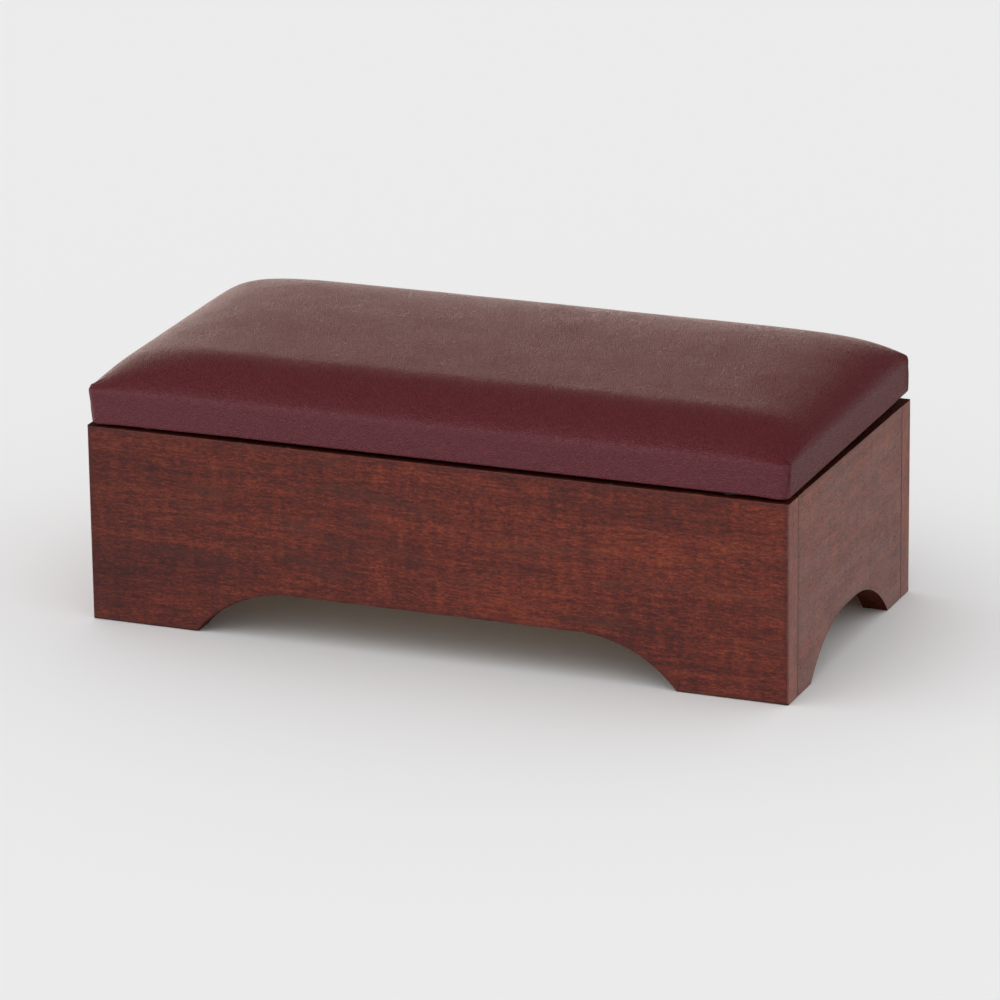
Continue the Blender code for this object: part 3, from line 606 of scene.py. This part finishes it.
def cover_mesh():
    gx, gy = lines(HX[1], HX[1]), lines(YF[1], YR[1])
    nx, ny = len(gx), len(gy)
    verts, faces = [], []
    grid = {}
    for i, a in enumerate(gx):
        for j, b in enumerate(gy):
            x, y = outline_point(a, b, HX[1], YF[1], YR[1], CORNER)
            grid[i, j] = len(verts)
            verts.append((x, y, W_TOP + crown(x, y)))
    for i in range(nx - 1):
        for j in range(ny - 1):
            faces.append((grid[i, j], grid[i + 1, j], grid[i + 1, j + 1], grid[i, j + 1]))
    rim = [(i, 0) for i in range(nx)] + [(nx - 1, j) for j in range(1, ny)] + [(i, ny - 1) for i in range(nx - 2, -1, -1)] + [(0, j) for j in range(ny - 2, 0, -1)]
    previous = [grid[k] for k in rim]
    e = 0.0017
    levels = []
    for w in (0.0010, 0.0022, 0.0038, 0.0060, 0.0085, 0.0115, 0.0145, 0.0170, 0.0192, BAND_H - e):
        k = 1 - w / (BAND_H - e) * 1.0
        levels.append((0.0, W_TOP - w, max(k, 0.0)))
    for ang in (22, 45, 68, 90):
        c, s = math.cos(math.radians(ang)), math.sin(math.radians(ang))
        levels.append((e * (1 - c), LID_W0 + e * (1 - s), 0.0))
    for inset in (0.0045, 0.0075, 0.0115, 0.016, 0.021, 0.0265, 0.032, MARGIN):
        levels.append((inset, LID_W0, 0.0))
    for inset, w, k in levels:
        ring = []
        for i, j in rim:
            low = HX_LOW[1 if gx[i] > 0 else -1]
            x, y = outline_point(gx[i], gy[j], low + (HX[1] - low) * k - inset, YF[0] + (YF[1] - YF[0]) * k - inset,
                                 YR[0] + (YR[1] - YR[0]) * k - inset, max(CORNER - inset * 0.3, 0.0025))
            ring.append(len(verts))
            verts.append((x, y, w))
        n = len(rim)
        for q in range(n):
            faces.append((previous[q], ring[q], ring[(q + 1) % n], previous[(q + 1) % n]))
        previous = ring
    return verts, faces, nx * ny, len(rim)


verts, faces, n_top, len_rim = cover_mesh()
me = bpy.data.meshes.new("cover")
me.from_pydata(verts, [], faces)
me.update()
cover = bpy.data.objects.new("padded_cover", me)
scene.collection.objects.link(cover)
bm = bmesh.new()
bm.from_mesh(me)
bmesh.ops.recalc_face_normals(bm, faces=bm.faces)
up = sum(f.normal.z * f.calc_area() for f in bm.faces if f.calc_center_median().z > W_TOP)
if up < 0:
    bmesh.ops.reverse_faces(bm, faces=bm.faces)
bm.to_mesh(me)
bm.free()


def coords(mesh):
    a = np.zeros(len(mesh.vertices) * 3)
    mesh.vertices.foreach_get("co", a)
    return a.reshape(-1, 3)


def set_coords(mesh, a):
    mesh.vertices.foreach_set("co", a.astype(np.float32).ravel())
    mesh.update()


# Foam pressing up against stretched vinyl: the edge and underside are pinned, the top is free.
rest = coords(cover.data).copy()
start = rest.copy()
start[:n_top, 2] = W_TOP + (rest[:n_top, 2] - W_TOP) * 0.94
set_coords(cover.data, start)
pin = cover.vertex_groups.new(name="pin")
edge_d = np.minimum(HX[1] - np.abs(rest[:, 0]), np.minimum(rest[:, 1] + YF[1], YR[1] - rest[:, 1]))
for i in range(len(rest)):
    if i >= n_top or edge_d[i] < 0.0015:
        pin.add([i], 1.0, "REPLACE")
    elif edge_d[i] < 0.006:
        pin.add([i], float((0.006 - edge_d[i]) / 0.0045) * 0.8, "REPLACE")
cloth = cover.modifiers.new("cloth", "CLOTH")
s = cloth.settings
s.vertex_group_mass = "pin"
s.quality = 6
s.mass = 0.3
s.tension_stiffness = s.compression_stiffness = 40
s.shear_stiffness = 20
s.bending_stiffness = 2.0
s.use_pressure = True
s.uniform_pressure_force = 4.0
s.effector_weights.gravity = 0.0
cloth.collision_settings.use_collision = False
cloth.collision_settings.use_self_collision = False
scene.frame_start, scene.frame_end = 1, 20
cloth.point_cache.frame_start, cloth.point_cache.frame_end = 1, 20
for f in range(1, 21):
    scene.frame_set(f)
dg = bpy.context.evaluated_depsgraph_get()
ev = cover.evaluated_get(dg).to_mesh()
moved = coords(ev)
cover.evaluated_get(dg).to_mesh_clear()
cover.modifiers.remove(cloth)
cover.vertex_groups.clear()
scene.frame_set(1)
d = moved - rest
size = np.linalg.norm(d, axis=1)
print("cloth moved, mm: mean %.2f max %.2f" % (size[:n_top].mean() * 1000, size.max() * 1000))
# the skin keeps the broad swell of the simulation and loses its small ripples, since the real one is stretched tight
ring = [[] for _ in rest]
for e_ in cover.data.edges:
    a_, b_ = e_.vertices
    ring[a_].append(b_)
    ring[b_].append(a_)
ia = np.array([e_.vertices[0] for e_ in cover.data.edges])
ib = np.array([e_.vertices[1] for e_ in cover.data.edges])
count = np.array([len(q) for q in ring], float)[:, None]
d[n_top:] = 0
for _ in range(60):
    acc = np.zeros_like(d)
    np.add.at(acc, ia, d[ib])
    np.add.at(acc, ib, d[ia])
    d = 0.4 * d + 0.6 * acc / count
    d[n_top:] = 0
size = np.linalg.norm(d, axis=1)
cap = 0.0010
d *= min(1.0, cap / max(size.max(), 1e-9))
print("cloth kept, mm: mean %.2f max %.2f" % (np.linalg.norm(d[:n_top], axis=1).mean() * 1000, np.linalg.norm(d, axis=1).max() * 1000))
final = rest + d
final[n_top:] = rest[n_top:]
set_coords(cover.data, final)

# the vinyl bends round the edge of the board in a soft shoulder
base_co = coords(cover.data)
ia = np.array([e_.vertices[0] for e_ in cover.data.edges])
ib = np.array([e_.vertices[1] for e_ in cover.data.edges])
count = np.bincount(np.concatenate([ia, ib]), minlength=len(base_co)).astype(float)[:, None]
from_side = np.minimum(HX[1] - np.abs(base_co[:, 0]), np.minimum(base_co[:, 1] + YF[1], YR[1] - base_co[:, 1]))
near = np.exp(-(np.maximum(from_side - 0.001, 0) / 0.006) ** 2) * np.exp(-((base_co[:, 2] - W_TOP) / 0.006) ** 2)
near[base_co[:, 2] < W_TOP - 0.008] = 0
for _ in range(7):
    acc = np.zeros_like(base_co)
    np.add.at(acc, ia, base_co[ib])
    np.add.at(acc, ib, base_co[ia])
    base_co = base_co + (acc / count - base_co) * (0.6 * near)[:, None]
set_coords(cover.data, base_co)

core_co = coords(cover.data).copy()
core_no = np.zeros(len(core_co) * 3)
cover.data.vertices.foreach_get("normal", core_no)
core_no = core_no.reshape(-1, 3)
core_faces = [tuple(p.vertices) for p in cover.data.polygons]

sub = cover.modifiers.new("subdivide", "SUBSURF")
sub.levels = sub.render_levels = 1
sub.boundary_smooth = "PRESERVE_CORNERS"
apply_modifiers(cover)
smooth_co = coords(cover.data).copy()
normals = np.zeros(len(smooth_co) * 3)
cover.data.vertices.foreach_get("normal", normals)
normals = normals.reshape(-1, 3)


def bell(v, width):
    return np.exp(-(v / width) ** 2)


def step(v, a, b):
    t = np.clip((v - a) / (b - a), 0, 1)
    return t * t * (3 - 2 * t)


x, y, w = smooth_co.T
out = np.zeros(len(smooth_co))
# fold marks the grooves of the folds, where the vinyl is painted dark: painted shade
fold_shade = np.zeros(len(smooth_co))
# the vinyl is folded over at each corner: an upright crease on the end face, just behind the corner, that dies away over the top
for sx in (-1, 1):
    for sy in (-1, 1):
        ry = YF[1] if sy < 0 else YR[1]
        hx = np.interp(w, [LID_W0, W_TOP], HX)
        yc = sy * (ry - 0.0022 - 0.0036 * np.clip((w - LID_W0) / BAND_H, 0, 1))
        on_end = step(sx * x, 0.2405, 0.2428)
        low = step(W_TOP + 0.0032 - w, 0.0, 0.0025) * step(w, LID_W0 - 0.0004, LID_W0 + 0.0020)
        s_ = sy * (y - yc)      # positive towards the corner
        wander = 0.0003 * np.sin((w - LID_W0) * 420 + sx * 1.3 + sy)
        s_ = s_ - wander
        fade = low * on_end
        groove = bell(s_, 0.00065)
        lip = bell(s_ + 0.0019, 0.0015)
        out += fade * (-0.00120 * groove + 0.00055 * lip)
        fold_shade = np.maximum(fold_shade, fade * bell(s_, 0.00050))
        # the fold runs on over the shoulder and dies away
        qx, qy = sx * x - 0.2470, sy * y - sy * yc
        ang = math.radians(150)
        dx, dy = math.cos(ang), -math.sin(ang) * 0.9
        nrm = math.hypot(dx, dy)
        dx, dy = dx / nrm, dy / nrm
        along = qx * dx + qy * dy
        across = -qx * dy + qy * dx
        top = step(w, W_TOP - 0.0004, W_TOP + 0.0018)
        reach = np.exp(-np.clip(along, 0, None) / 0.0055) * step(along, -0.0022, 0.0002)
        out += top * reach * (-0.00070 * bell(across, 0.0008) + 0.00045 * bell(across - 0.0019, 0.0015))
        fold_shade = np.maximum(fold_shade, top * reach * bell(across, 0.0006) * 0.8)
        # small gathers fanning out from the corner
        rx, ry_ = 0.2470 - sx * x, ry - sy * y
        rad = np.hypot(rx, ry_)
        th = np.arctan2(ry_, np.maximum(rx, 1e-6))
        out += top * 0.00016 * np.sin(th * 15 + sx * 2 + sy) * np.exp(-rad / 0.011) * step(rad, 0.001, 0.004)

        # mitred fold on the underside, from the corner to the opening
        under = step(LID_W0 + 0.0006 - w, 0.0, 0.0005) * step(np.minimum(HX[0] - np.abs(x), YF[0] - np.abs(y)), 0.001, 0.004)
        mine = (sx * x > 0.19) * (sy * y > 0.07)
        across = ((HX[0] - sx * x) - (YF[0] - sy * y)) / math.sqrt(2)
        out += mine * under * (-0.00045 * bell(across, 0.0007) + 0.00040 * bell(across - 0.0020, 0.0017))
        fold_shade = np.maximum(fold_shade, mine * under * bell(across, 0.0006))

# slow unevenness of the foam under the vinyl, and slight pulls along the stapled lower edge
for i in range(len(smooth_co)):
    if w[i] > W_TOP + 0.002:
        a = noise.noise(Vector((x[i] * 17, y[i] * 24, 0.7))) * 0.00030
        b = noise.noise(Vector((x[i] * 42, y[i] * 55, 3.1))) * 0.00010
        inner = min(1.0, max(0.0, (min(HX[1] - abs(x[i]), y[i] + YF[1], YR[1] - y[i]) - 0.004) / 0.02))
        out[i] += (a + b) * inner
    elif w[i] > LID_W0 + 0.0005:
        a = noise.noise(Vector((x[i] * 30, y[i] * 30, w[i] * 60)))
        out[i] += a * 0.00012
    else:
        inset_d = min(HX[0] - abs(x[i]), YF[0] - abs(y[i]))
        a = noise.noise(Vector((x[i] * 70, y[i] * 70, 9.0))) * 0.00022
        out[i] += a * min(1.0, max(0.0, inset_d / 0.01)) - 0.0
# puckers along the shoulder, where the vinyl turns over the edge of the foam
per = np.where(np.abs(y) > np.abs(x) * 0.5, x, y)
shoulder = bell(w - (W_TOP + 0.0008), 0.0042) * step(W_TOP + 0.012 - w, 0.0, 0.006)
puck = np.array([noise.noise(Vector((p * 260, q * 60, 4.0))) + 0.6 * noise.noise(Vector((p * 610, q * 90, 8.0))) for p, q in zip(per, w)])
out += shoulder * puck * 0.00010
# low on the band the vinyl lies tight over the corners of the board, so the folds run out before the lower edge
tight = (1 - step(w, LID_W0 + 0.0060, LID_W0 + 0.0120)) * (w > LID_W0 + 0.0002)
out = np.where(out < 0, out * (1 - 0.95 * tight), out)
fold_shade = fold_shade * (1 - 0.6 * tight)
detail = smooth_co + normals * out[:, None]
inner = smooth_co - normals * COVER_T
# the wrap sags a little towards the box at both ends, and more at the left one
sag = 0.0008 * step(np.abs(x), 0.222, 0.245) + 0.0008 * step(-x, 0.120, 0.246) * step(0.090 - y, 0.0, 0.05)
in_from_edge = np.minimum(HX[1] - np.abs(x), np.minimum(y + YF[1], YR[1] - y))
sag = sag * np.clip(1 - (w - LID_W0) / (0.8 * BAND_H), 0, 1) ** 1.5 * (1 - step(in_from_edge, 0.0035, 0.0060))
detail[:, 2] -= sag
inner[:, 2] -= sag

# the finished skin: outer face with its folds, plain inner face, and the cut edge round the opening below
n = len(smooth_co)
polys = [tuple(p.vertices) for p in cover.data.polygons]
edge_use = {}
for f in polys:
    for a, b in zip(f, f[1:] + f[:1]):
        edge_use[(a, b)] = True
rim_edges = [(a, b) for (a, b) in edge_use if (b, a) not in edge_use]
world = [lid_world(p) for p in detail] + [lid_world(p) for p in inner]
all_faces = polys + [tuple(v + n for v in reversed(f)) for f in polys] + [(b, a, a + n, b + n) for a, b in rim_edges]
skin = bpy.data.meshes.new("padded_cover")
skin.from_pydata([tuple(p) for p in world], [], all_faces)
skin.update()
skin.materials.append(VINYL)
skin.materials.append(BACKING)
skin.polygons.foreach_set("material_index", [0] * len(polys) + [1] * (len(polys) + len(rim_edges)))
skin.shade_smooth()
skin.attributes.new("fold_shade", "FLOAT", "POINT").data.foreach_set("value", np.concatenate([fold_shade, np.zeros(n)]).astype(np.float32))
old = cover.data
cover.data = skin
bpy.data.meshes.remove(old)
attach(cover, "lid")
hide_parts("vinyl_cover")

# ------------------------------------------------------------------ the foam inside, 0.6 mm clear of the cover
foam_bm = bmesh.new()
foam_n = n_top + 2 * len_rim
pts = core_co[:foam_n] - core_no[:foam_n] * (COVER_T + 0.0006)
pts[:, 2] = np.maximum(pts[:, 2], 0.0232)
fv = [foam_bm.verts.new(lid_world(p)) for p in pts]
for f in core_faces:
    if max(f) < foam_n:
        foam_bm.faces.new([fv[q] for q in f])
last = fv[n_top + len_rim:foam_n]
low = [foam_bm.verts.new(lid_world((p[0], p[1], 0.02288))) for p in pts[n_top + len_rim:foam_n]]
for q in range(len_rim):
    foam_bm.faces.new((last[q], low[q], low[(q + 1) % len_rim], last[(q + 1) % len_rim]))
foam_bm.faces.new(low)
bmesh.ops.recalc_face_normals(foam_bm, faces=foam_bm.faces)
foam_core = new_piece("foam_core", foam_bm, FOAM, smooth=40)
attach(foam_core, "lid")
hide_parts("foam_pad")

# ------------------------------------------------------------------ dust cover and its staples
SHEET_X, SHEET_Y, SHEET_T, PITCH = 0.214, 0.089, 0.0003, 0.0428
NX, NY = 144, 60


def sheet_height(x, y):
    ex, ey = SHEET_X - abs(x), SHEET_Y - abs(y)
    sag = -0.0011 * max(0.0, 1 - (x / 0.207) ** 2) * max(0.0, 1 - (y / 0.084) ** 2)
    pull = -0.00030 * math.cos(2 * math.pi * x / PITCH) * math.exp(-ey / 0.013) - 0.00030 * math.cos(2 * math.pi * y / 0.0445) * math.exp(-ex / 0.013)
    inside = min(1.0, min(ex, ey) / 0.012)
    soft = noise.noise(Vector((x * 22, y * 22, 2.0))) * 0.00045 + noise.noise(Vector((x * 60, y * 34, 5.0))) * 0.00016
    # a few straight creases left from the folded bolt
    crease = 0.00016 * math.exp(-((x - 0.071) / 0.0016) ** 2) + 0.00014 * math.exp(-((x + 0.071) / 0.0016) ** 2) - 0.00014 * math.exp(-((y - 0.006 + 0.03 * x) / 0.0016) ** 2)
    return 0.00252 + sag + (pull * 0.5 if inside < 1 else pull * 0.5) + (soft + crease) * inside


sheet_bm = bmesh.new()
layers = []
for side in (1, -1):
    rows = []
    for i in range(NX + 1):
        row = []
        for j in range(NY + 1):
            x, y = -SHEET_X + 2 * SHEET_X * i / NX, -SHEET_Y + 2 * SHEET_Y * j / NY
            h = sheet_height(x, y)
            if j in (0, NY):
                y -= math.copysign(0.0005 * math.sin(math.pi * x / PITCH + math.pi / 2) ** 2 * 0 + 0.0005 * (1 - math.cos(2 * math.pi * x / PITCH)) / 2, y)
            if i in (0, NX):
                x -= math.copysign(0.0005 * (1 - math.cos(2 * math.pi * y / 0.0445)) / 2, x)
            row.append(sheet_bm.verts.new(lid_world((x, y, h + side * SHEET_T / 2))))
        rows.append(row)
    layers.append(rows)
for rows, flip in ((layers[0], False), (layers[1], True)):
    for i in range(NX):
        for j in range(NY):
            q = (rows[i][j], rows[i + 1][j], rows[i + 1][j + 1], rows[i][j + 1])
            sheet_bm.faces.new(tuple(reversed(q)) if flip else q)
loop = [(i, 0) for i in range(NX)] + [(NX, j) for j in range(NY)] + [(i, NY) for i in range(NX, 0, -1)] + [(0, j) for j in range(NY, 0, -1)]
for (a, b), (c_, d_) in zip(loop, loop[1:] + loop[:1]):
    sheet_bm.faces.new((layers[1][a][b], layers[1][c_][d_], layers[0][c_][d_], layers[0][a][b]))
bmesh.ops.recalc_face_normals(sheet_bm, faces=sheet_bm.faces)
sheet = new_piece("dust_cloth", sheet_bm, CAMBRIC, smooth=60)
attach(sheet, "lid")
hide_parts("dust_cover")

staple_bm = bmesh.new()
U = [(-0.0050, 0.0016), (-0.0050, 0.0006), (-0.0048, 0.00022), (-0.0043, 0.00002), (-0.0036, 0.0), (0.0, -0.00004), (0.0036, 0.0), (0.0043, 0.00002), (0.0048, 0.00022), (0.0050, 0.0006), (0.0050, 0.0016)]


def staple(x, y, turn, seed):
    yaw = turn + 0.16 * math.sin(seed * 12.9898)
    wire = 0.00034
    low = sheet_height(x, y) - SHEET_T / 2 - wire * 0.8
    m = Matrix.Translation((x + 0.0006 * math.sin(seed * 7.7), y + 0.0006 * math.cos(seed * 5.1), low)) @ Matrix.Rotation(yaw, 4, "Z")
    rings = []
    for q, (u, h) in enumerate(U):
        a, b = Vector(U[max(q - 1, 0)]), Vector(U[min(q + 1, len(U) - 1)])
        t = (b - a).normalized()
        nrm = Vector((-t.y, t.x))
        ring = []
        for k in range(8):
            c_, s_ = math.cos(math.pi * k / 4), math.sin(math.pi * k / 4)
            p = Vector((u + nrm.x * s_ * wire * 0.75, c_ * wire, h + nrm.y * s_ * wire * 0.75))
            ring.append(staple_bm.verts.new(lid_world(m @ p)))
        rings.append(ring)
    for a, b in zip(rings, rings[1:]):
        for k in range(8):
            staple_bm.faces.new((a[k], a[(k + 1) % 8], b[(k + 1) % 8], b[k]))
    staple_bm.faces.new(rings[0])
    staple_bm.faces.new(rings[-1])


seed = 0
for sy in (-1, 1):
    for q in range(-4, 5):
        seed += 1
        staple(q * PITCH, sy * (SHEET_Y - 0.0055), 0.0, seed)
for sx in (-1, 1):
    for q in (-1, 0, 1):
        seed += 1
        staple(sx * (SHEET_X - 0.0055), q * 0.0445, math.pi / 2, seed)
    for sy in (-1, 1):
        seed += 1
        staple(sx * (SHEET_X - 0.0065), sy * (SHEET_Y - 0.0150), math.pi / 2, seed)
bmesh.ops.recalc_face_normals(staple_bm, faces=staple_bm.faces)
staples = new_piece("dust_cloth_staples", staple_bm, STAPLE, smooth=50)
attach(staples, "lid")

# ------------------------------------------------------------------ screws with a cross recess


def turned(profile, steps=32):
    b = bmesh.new()
    vs = [b.verts.new((r, 0, z)) for r, z in profile]
    es = [b.edges.new(p) for p in zip(vs, vs[1:])]
    bmesh.ops.spin(b, geom=vs + es, cent=(0, 0, 0), axis=(0, 0, 1), angle=2 * math.pi, steps=steps, use_merge=True, use_duplicate=False)
    bmesh.ops.remove_doubles(b, verts=b.verts, dist=1e-5)
    bmesh.ops.recalc_face_normals(b, faces=b.faces)
    return b


def screw_mesh(name, length):
    """Countersunk wood screw in metres, head flush at height 0 and point down, modelled in millimetres first."""
    L = length * 1000
    prof = [(0, 0.0), (2.45, 0.0), (2.66, -0.06), (2.75, -0.20), (2.62, -0.38), (1.40, -1.35)]
    z, k = -1.7, 0
    while z > -L + 2.2:     # a coarse thread below the head
        prof.append((1.05 if k % 2 else 1.42, z))
        z -= 0.55
        k += 1
    prof += [(0.9, -L + 1.9), (0.35, -L + 0.5), (0, -L)]
    body = new_piece(name, turned(prof), ZINC)
    for turn in (0, math.pi / 2):
        b = bmesh.new()
        top, bot = (1.55, 0.36), (0.62, 0.16)
        vs = [b.verts.new((sx * lx, sy * ly, z)) for (lx, ly), z in ((bot, -1.05), (top, 0.25)) for sx, sy in ((-1, -1), (1, -1), (1, 1), (-1, 1))]
        for f in ((3, 2, 1, 0), (4, 5, 6, 7), (0, 1, 5, 4), (1, 2, 6, 5), (2, 3, 7, 6), (3, 0, 4, 7)):
            b.faces.new([vs[q] for q in f])
        bmesh.ops.rotate(b, verts=b.verts, cent=(0, 0, 0), matrix=Matrix.Rotation(turn, 3, "Z"))
        bmesh.ops.recalc_face_normals(b, faces=b.faces)
        cutter = new_piece("cutter", b, ZINC)
        cut = body.modifiers.new("recess", "BOOLEAN")
        cut.operation, cut.solver, cut.object = "DIFFERENCE", "EXACT", cutter
        bpy.context.view_layer.update()
        apply_modifiers(body)
        cm = cutter.data
        bpy.data.objects.remove(cutter)
        bpy.data.meshes.remove(cm)
    me = body.data
    me.transform(Matrix.Scale(0.001, 4))
    me.shade_smooth()
    me.set_sharp_from_angle(angle=math.radians(32))
    bpy.data.objects.remove(body)
    return me


LID_M = Matrix.Translation(hinge) @ Matrix.Rotation(TILT, 4, "X")
FLIP = Matrix.Rotation(math.pi, 4, "X")
spots = []
for tag, x0 in (("left", -0.150), ("right", 0.150)):
    for ab, dx in (("a", -0.014), ("b", 0.014)):
        spots.append((f"{tag}_box_leaf_screw_{ab}", "box", 0.016, BRASSED, Matrix.Translation((x0 + dx, hinge.y - 0.0123, hinge.z - 0.0015))))
        spots.append((f"{tag}_lid_leaf_screw_{ab}", "lid", 0.014, BRASSED, LID_M @ Matrix.Translation((x0 + dx, -0.0123, 0.0015)) @ FLIP))
for ab, dy in (("a", -0.007), ("b", 0.007)):
    spots.append((f"stay_box_bracket_screw_{ab}", "box", 0.012, ZINC, Matrix.Translation((0.2274, Y_MID + 0.088 + dy, 0.0605)) @ Matrix.Rotation(-math.pi / 2, 4, "Y")))
for ab, dy in (("a", -0.010), ("b", 0.010)):
    spots.append((f"stay_lid_bracket_screw_{ab}", "lid", 0.014, ZINC, LID_M @ Matrix.Translation((0.2200, -0.145 + dy, 0.0009)) @ FLIP))
for q, (node, body, length, mat, place) in enumerate(spots):
    me = screw_mesh("cross_" + node, length)
    me.transform(place @ Matrix.Rotation(0.5 + 1.7 * q, 4, "Z"))
    me.materials.clear()
    me.materials.append(mat)
    o = bpy.data.objects.new("cross_" + node, me)
    scene.collection.objects.link(o)
    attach(o, body)
    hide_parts(node)

# ------------------------------------------------------------------ floor, light, camera
bm = bmesh.new()
bmesh.ops.create_grid(bm, x_segments=1, y_segments=1, size=9.0)
floor = new_piece("studio_floor", bm, Mat("studio_floor").set(color=(0.90, 0.90, 0.90, 1), rough=0.9, spec=0.1))
floor.location.z = -0.0002
floor.visible_glossy = False

# A white tent: even light from all round, and in reflections a bright sweep low behind, a dark ceiling and a soft front.
world = bpy.data.worlds.new("studio")
scene.world = world
world.use_nodes = True
nt = world.node_tree
nt.nodes.clear()
W = Mat.__new__(Mat)
W.t = nt
direction = nt.nodes.new("ShaderNodeTexCoord").outputs["Generated"]
dx_, dy_, dz_ = W.xyz(direction)


def lobe(towards, inner, outer, value):
    """value inside a cone round a direction, fading to 0 at its rim (angles in degrees)."""
    dot = nt.nodes.new("ShaderNodeVectorMath")
    dot.operation = "DOT_PRODUCT"
    W.put(dot.inputs[0], direction)
    dot.inputs[1].default_value = Vector(towards).normalized()
    return W.remap(dot.outputs["Value"], math.cos(math.radians(outer)), math.cos(math.radians(inner)), 0.0, value)


def elevation(stops):
    return W.ramp(W.remap(dz_, -1.0, 1.0, 0, 1, "LINEAR"), [((math.sin(math.radians(e)) + 1) / 2, (v,) * 3) for e, v in stops], "EASE")


BACK_LEFT = elevation([(-90, 0.20), (-50, 0.45), (-14, 0.85), (-3, 1.95), (6, 1.95), (15, 0.14), (30, 0.02), (90, 0.02)])
BACK_RIGHT = elevation([(-90, 0.20), (-45, 0.32), (-20, 0.48), (-8, 0.31), (2, 0.09), (30, 0.06), (42, 0.03), (60, 0.02), (90, 0.02)])
FRONT = elevation([(-90, 0.15), (-50, 0.40), (-18, 0.84), (0, 1.20), (12, 1.38), (33, 0.72), (49, 0.08), (62, 0.02), (90, 0.02)])
warm = W.mix(1.0, BACK_LEFT, (1.09, 0.93, 0.83), "MULTIPLY")
soft = W.mix(1.0, BACK_RIGHT, (1.04, 0.97, 0.92), "MULTIPLY")
back = W.mix(W.remap(dx_, -0.35, -0.05), warm, soft)
cool = W.mix(1.0, FRONT, (0.97, 0.95, 1.10), "MULTIPLY")
seen = W.mix(W.remap(dy_, -0.30, 0.35), cool, back)
highlight = lobe((-0.363, -0.88, 0.30), 5, 17, 1.25)
seen = W.mix(1.0, seen, highlight, "ADD")
overhead = lobe((-0.40, -0.64, 0.65), 8, 38, 0.42)
seen = W.mix(1.0, seen, overhead, "ADD")
path = nt.nodes.new("ShaderNodeLightPath")
mirror = nt.nodes.new("ShaderNodeBackground")
W.put(mirror.inputs["Color"], seen)
tent = nt.nodes.new("ShaderNodeBackground")
tent.inputs["Color"].default_value = (0.80, 0.80, 0.80, 1)
pick = nt.nodes.new("ShaderNodeMixShader")
W.put(pick.inputs[0], path.outputs["Is Glossy Ray"])
nt.links.new(tent.outputs[0], pick.inputs[1])
nt.links.new(mirror.outputs[0], pick.inputs[2])
wo = nt.nodes.new("ShaderNodeOutputWorld")
nt.links.new(pick.outputs[0], wo.inputs[0])


def sun(name, towards, angle, strength):
    d = bpy.data.lights.new(name, "SUN")
    d.angle = math.radians(angle)
    d.energy = strength
    o = bpy.data.objects.new(name, d)
    o.rotation_euler = Vector(towards).to_track_quat("-Z", "Y").to_euler()
    o.location = -Vector(towards)
    scene.collection.objects.link(o)
    o.visible_glossy = False
    return o


sun("key", (0.35, 0.45, -1.0), 60, 0.50)

cam_data = bpy.data.cameras.new("camera")
cam = bpy.data.objects.new("camera", cam_data)
scene.collection.objects.link(cam)
cam_data.lens = 211.84
cam_data.sensor_width = 36.0
cam_data.clip_end = 50
r0, r1, bk = (0.925521, 0.378510, -0.011866), (-0.106520, 0.290270, 0.950999), (0.363407, -0.878906, 0.308969)
cam.matrix_world = Matrix(((r0[0], r1[0], bk[0], 1.43433), (r0[1], r1[1], bk[1], -3.47185 + Y_MID), (r0[2], r1[2], bk[2], 1.29431), (0, 0, 0, 1)))
scene.camera = cam
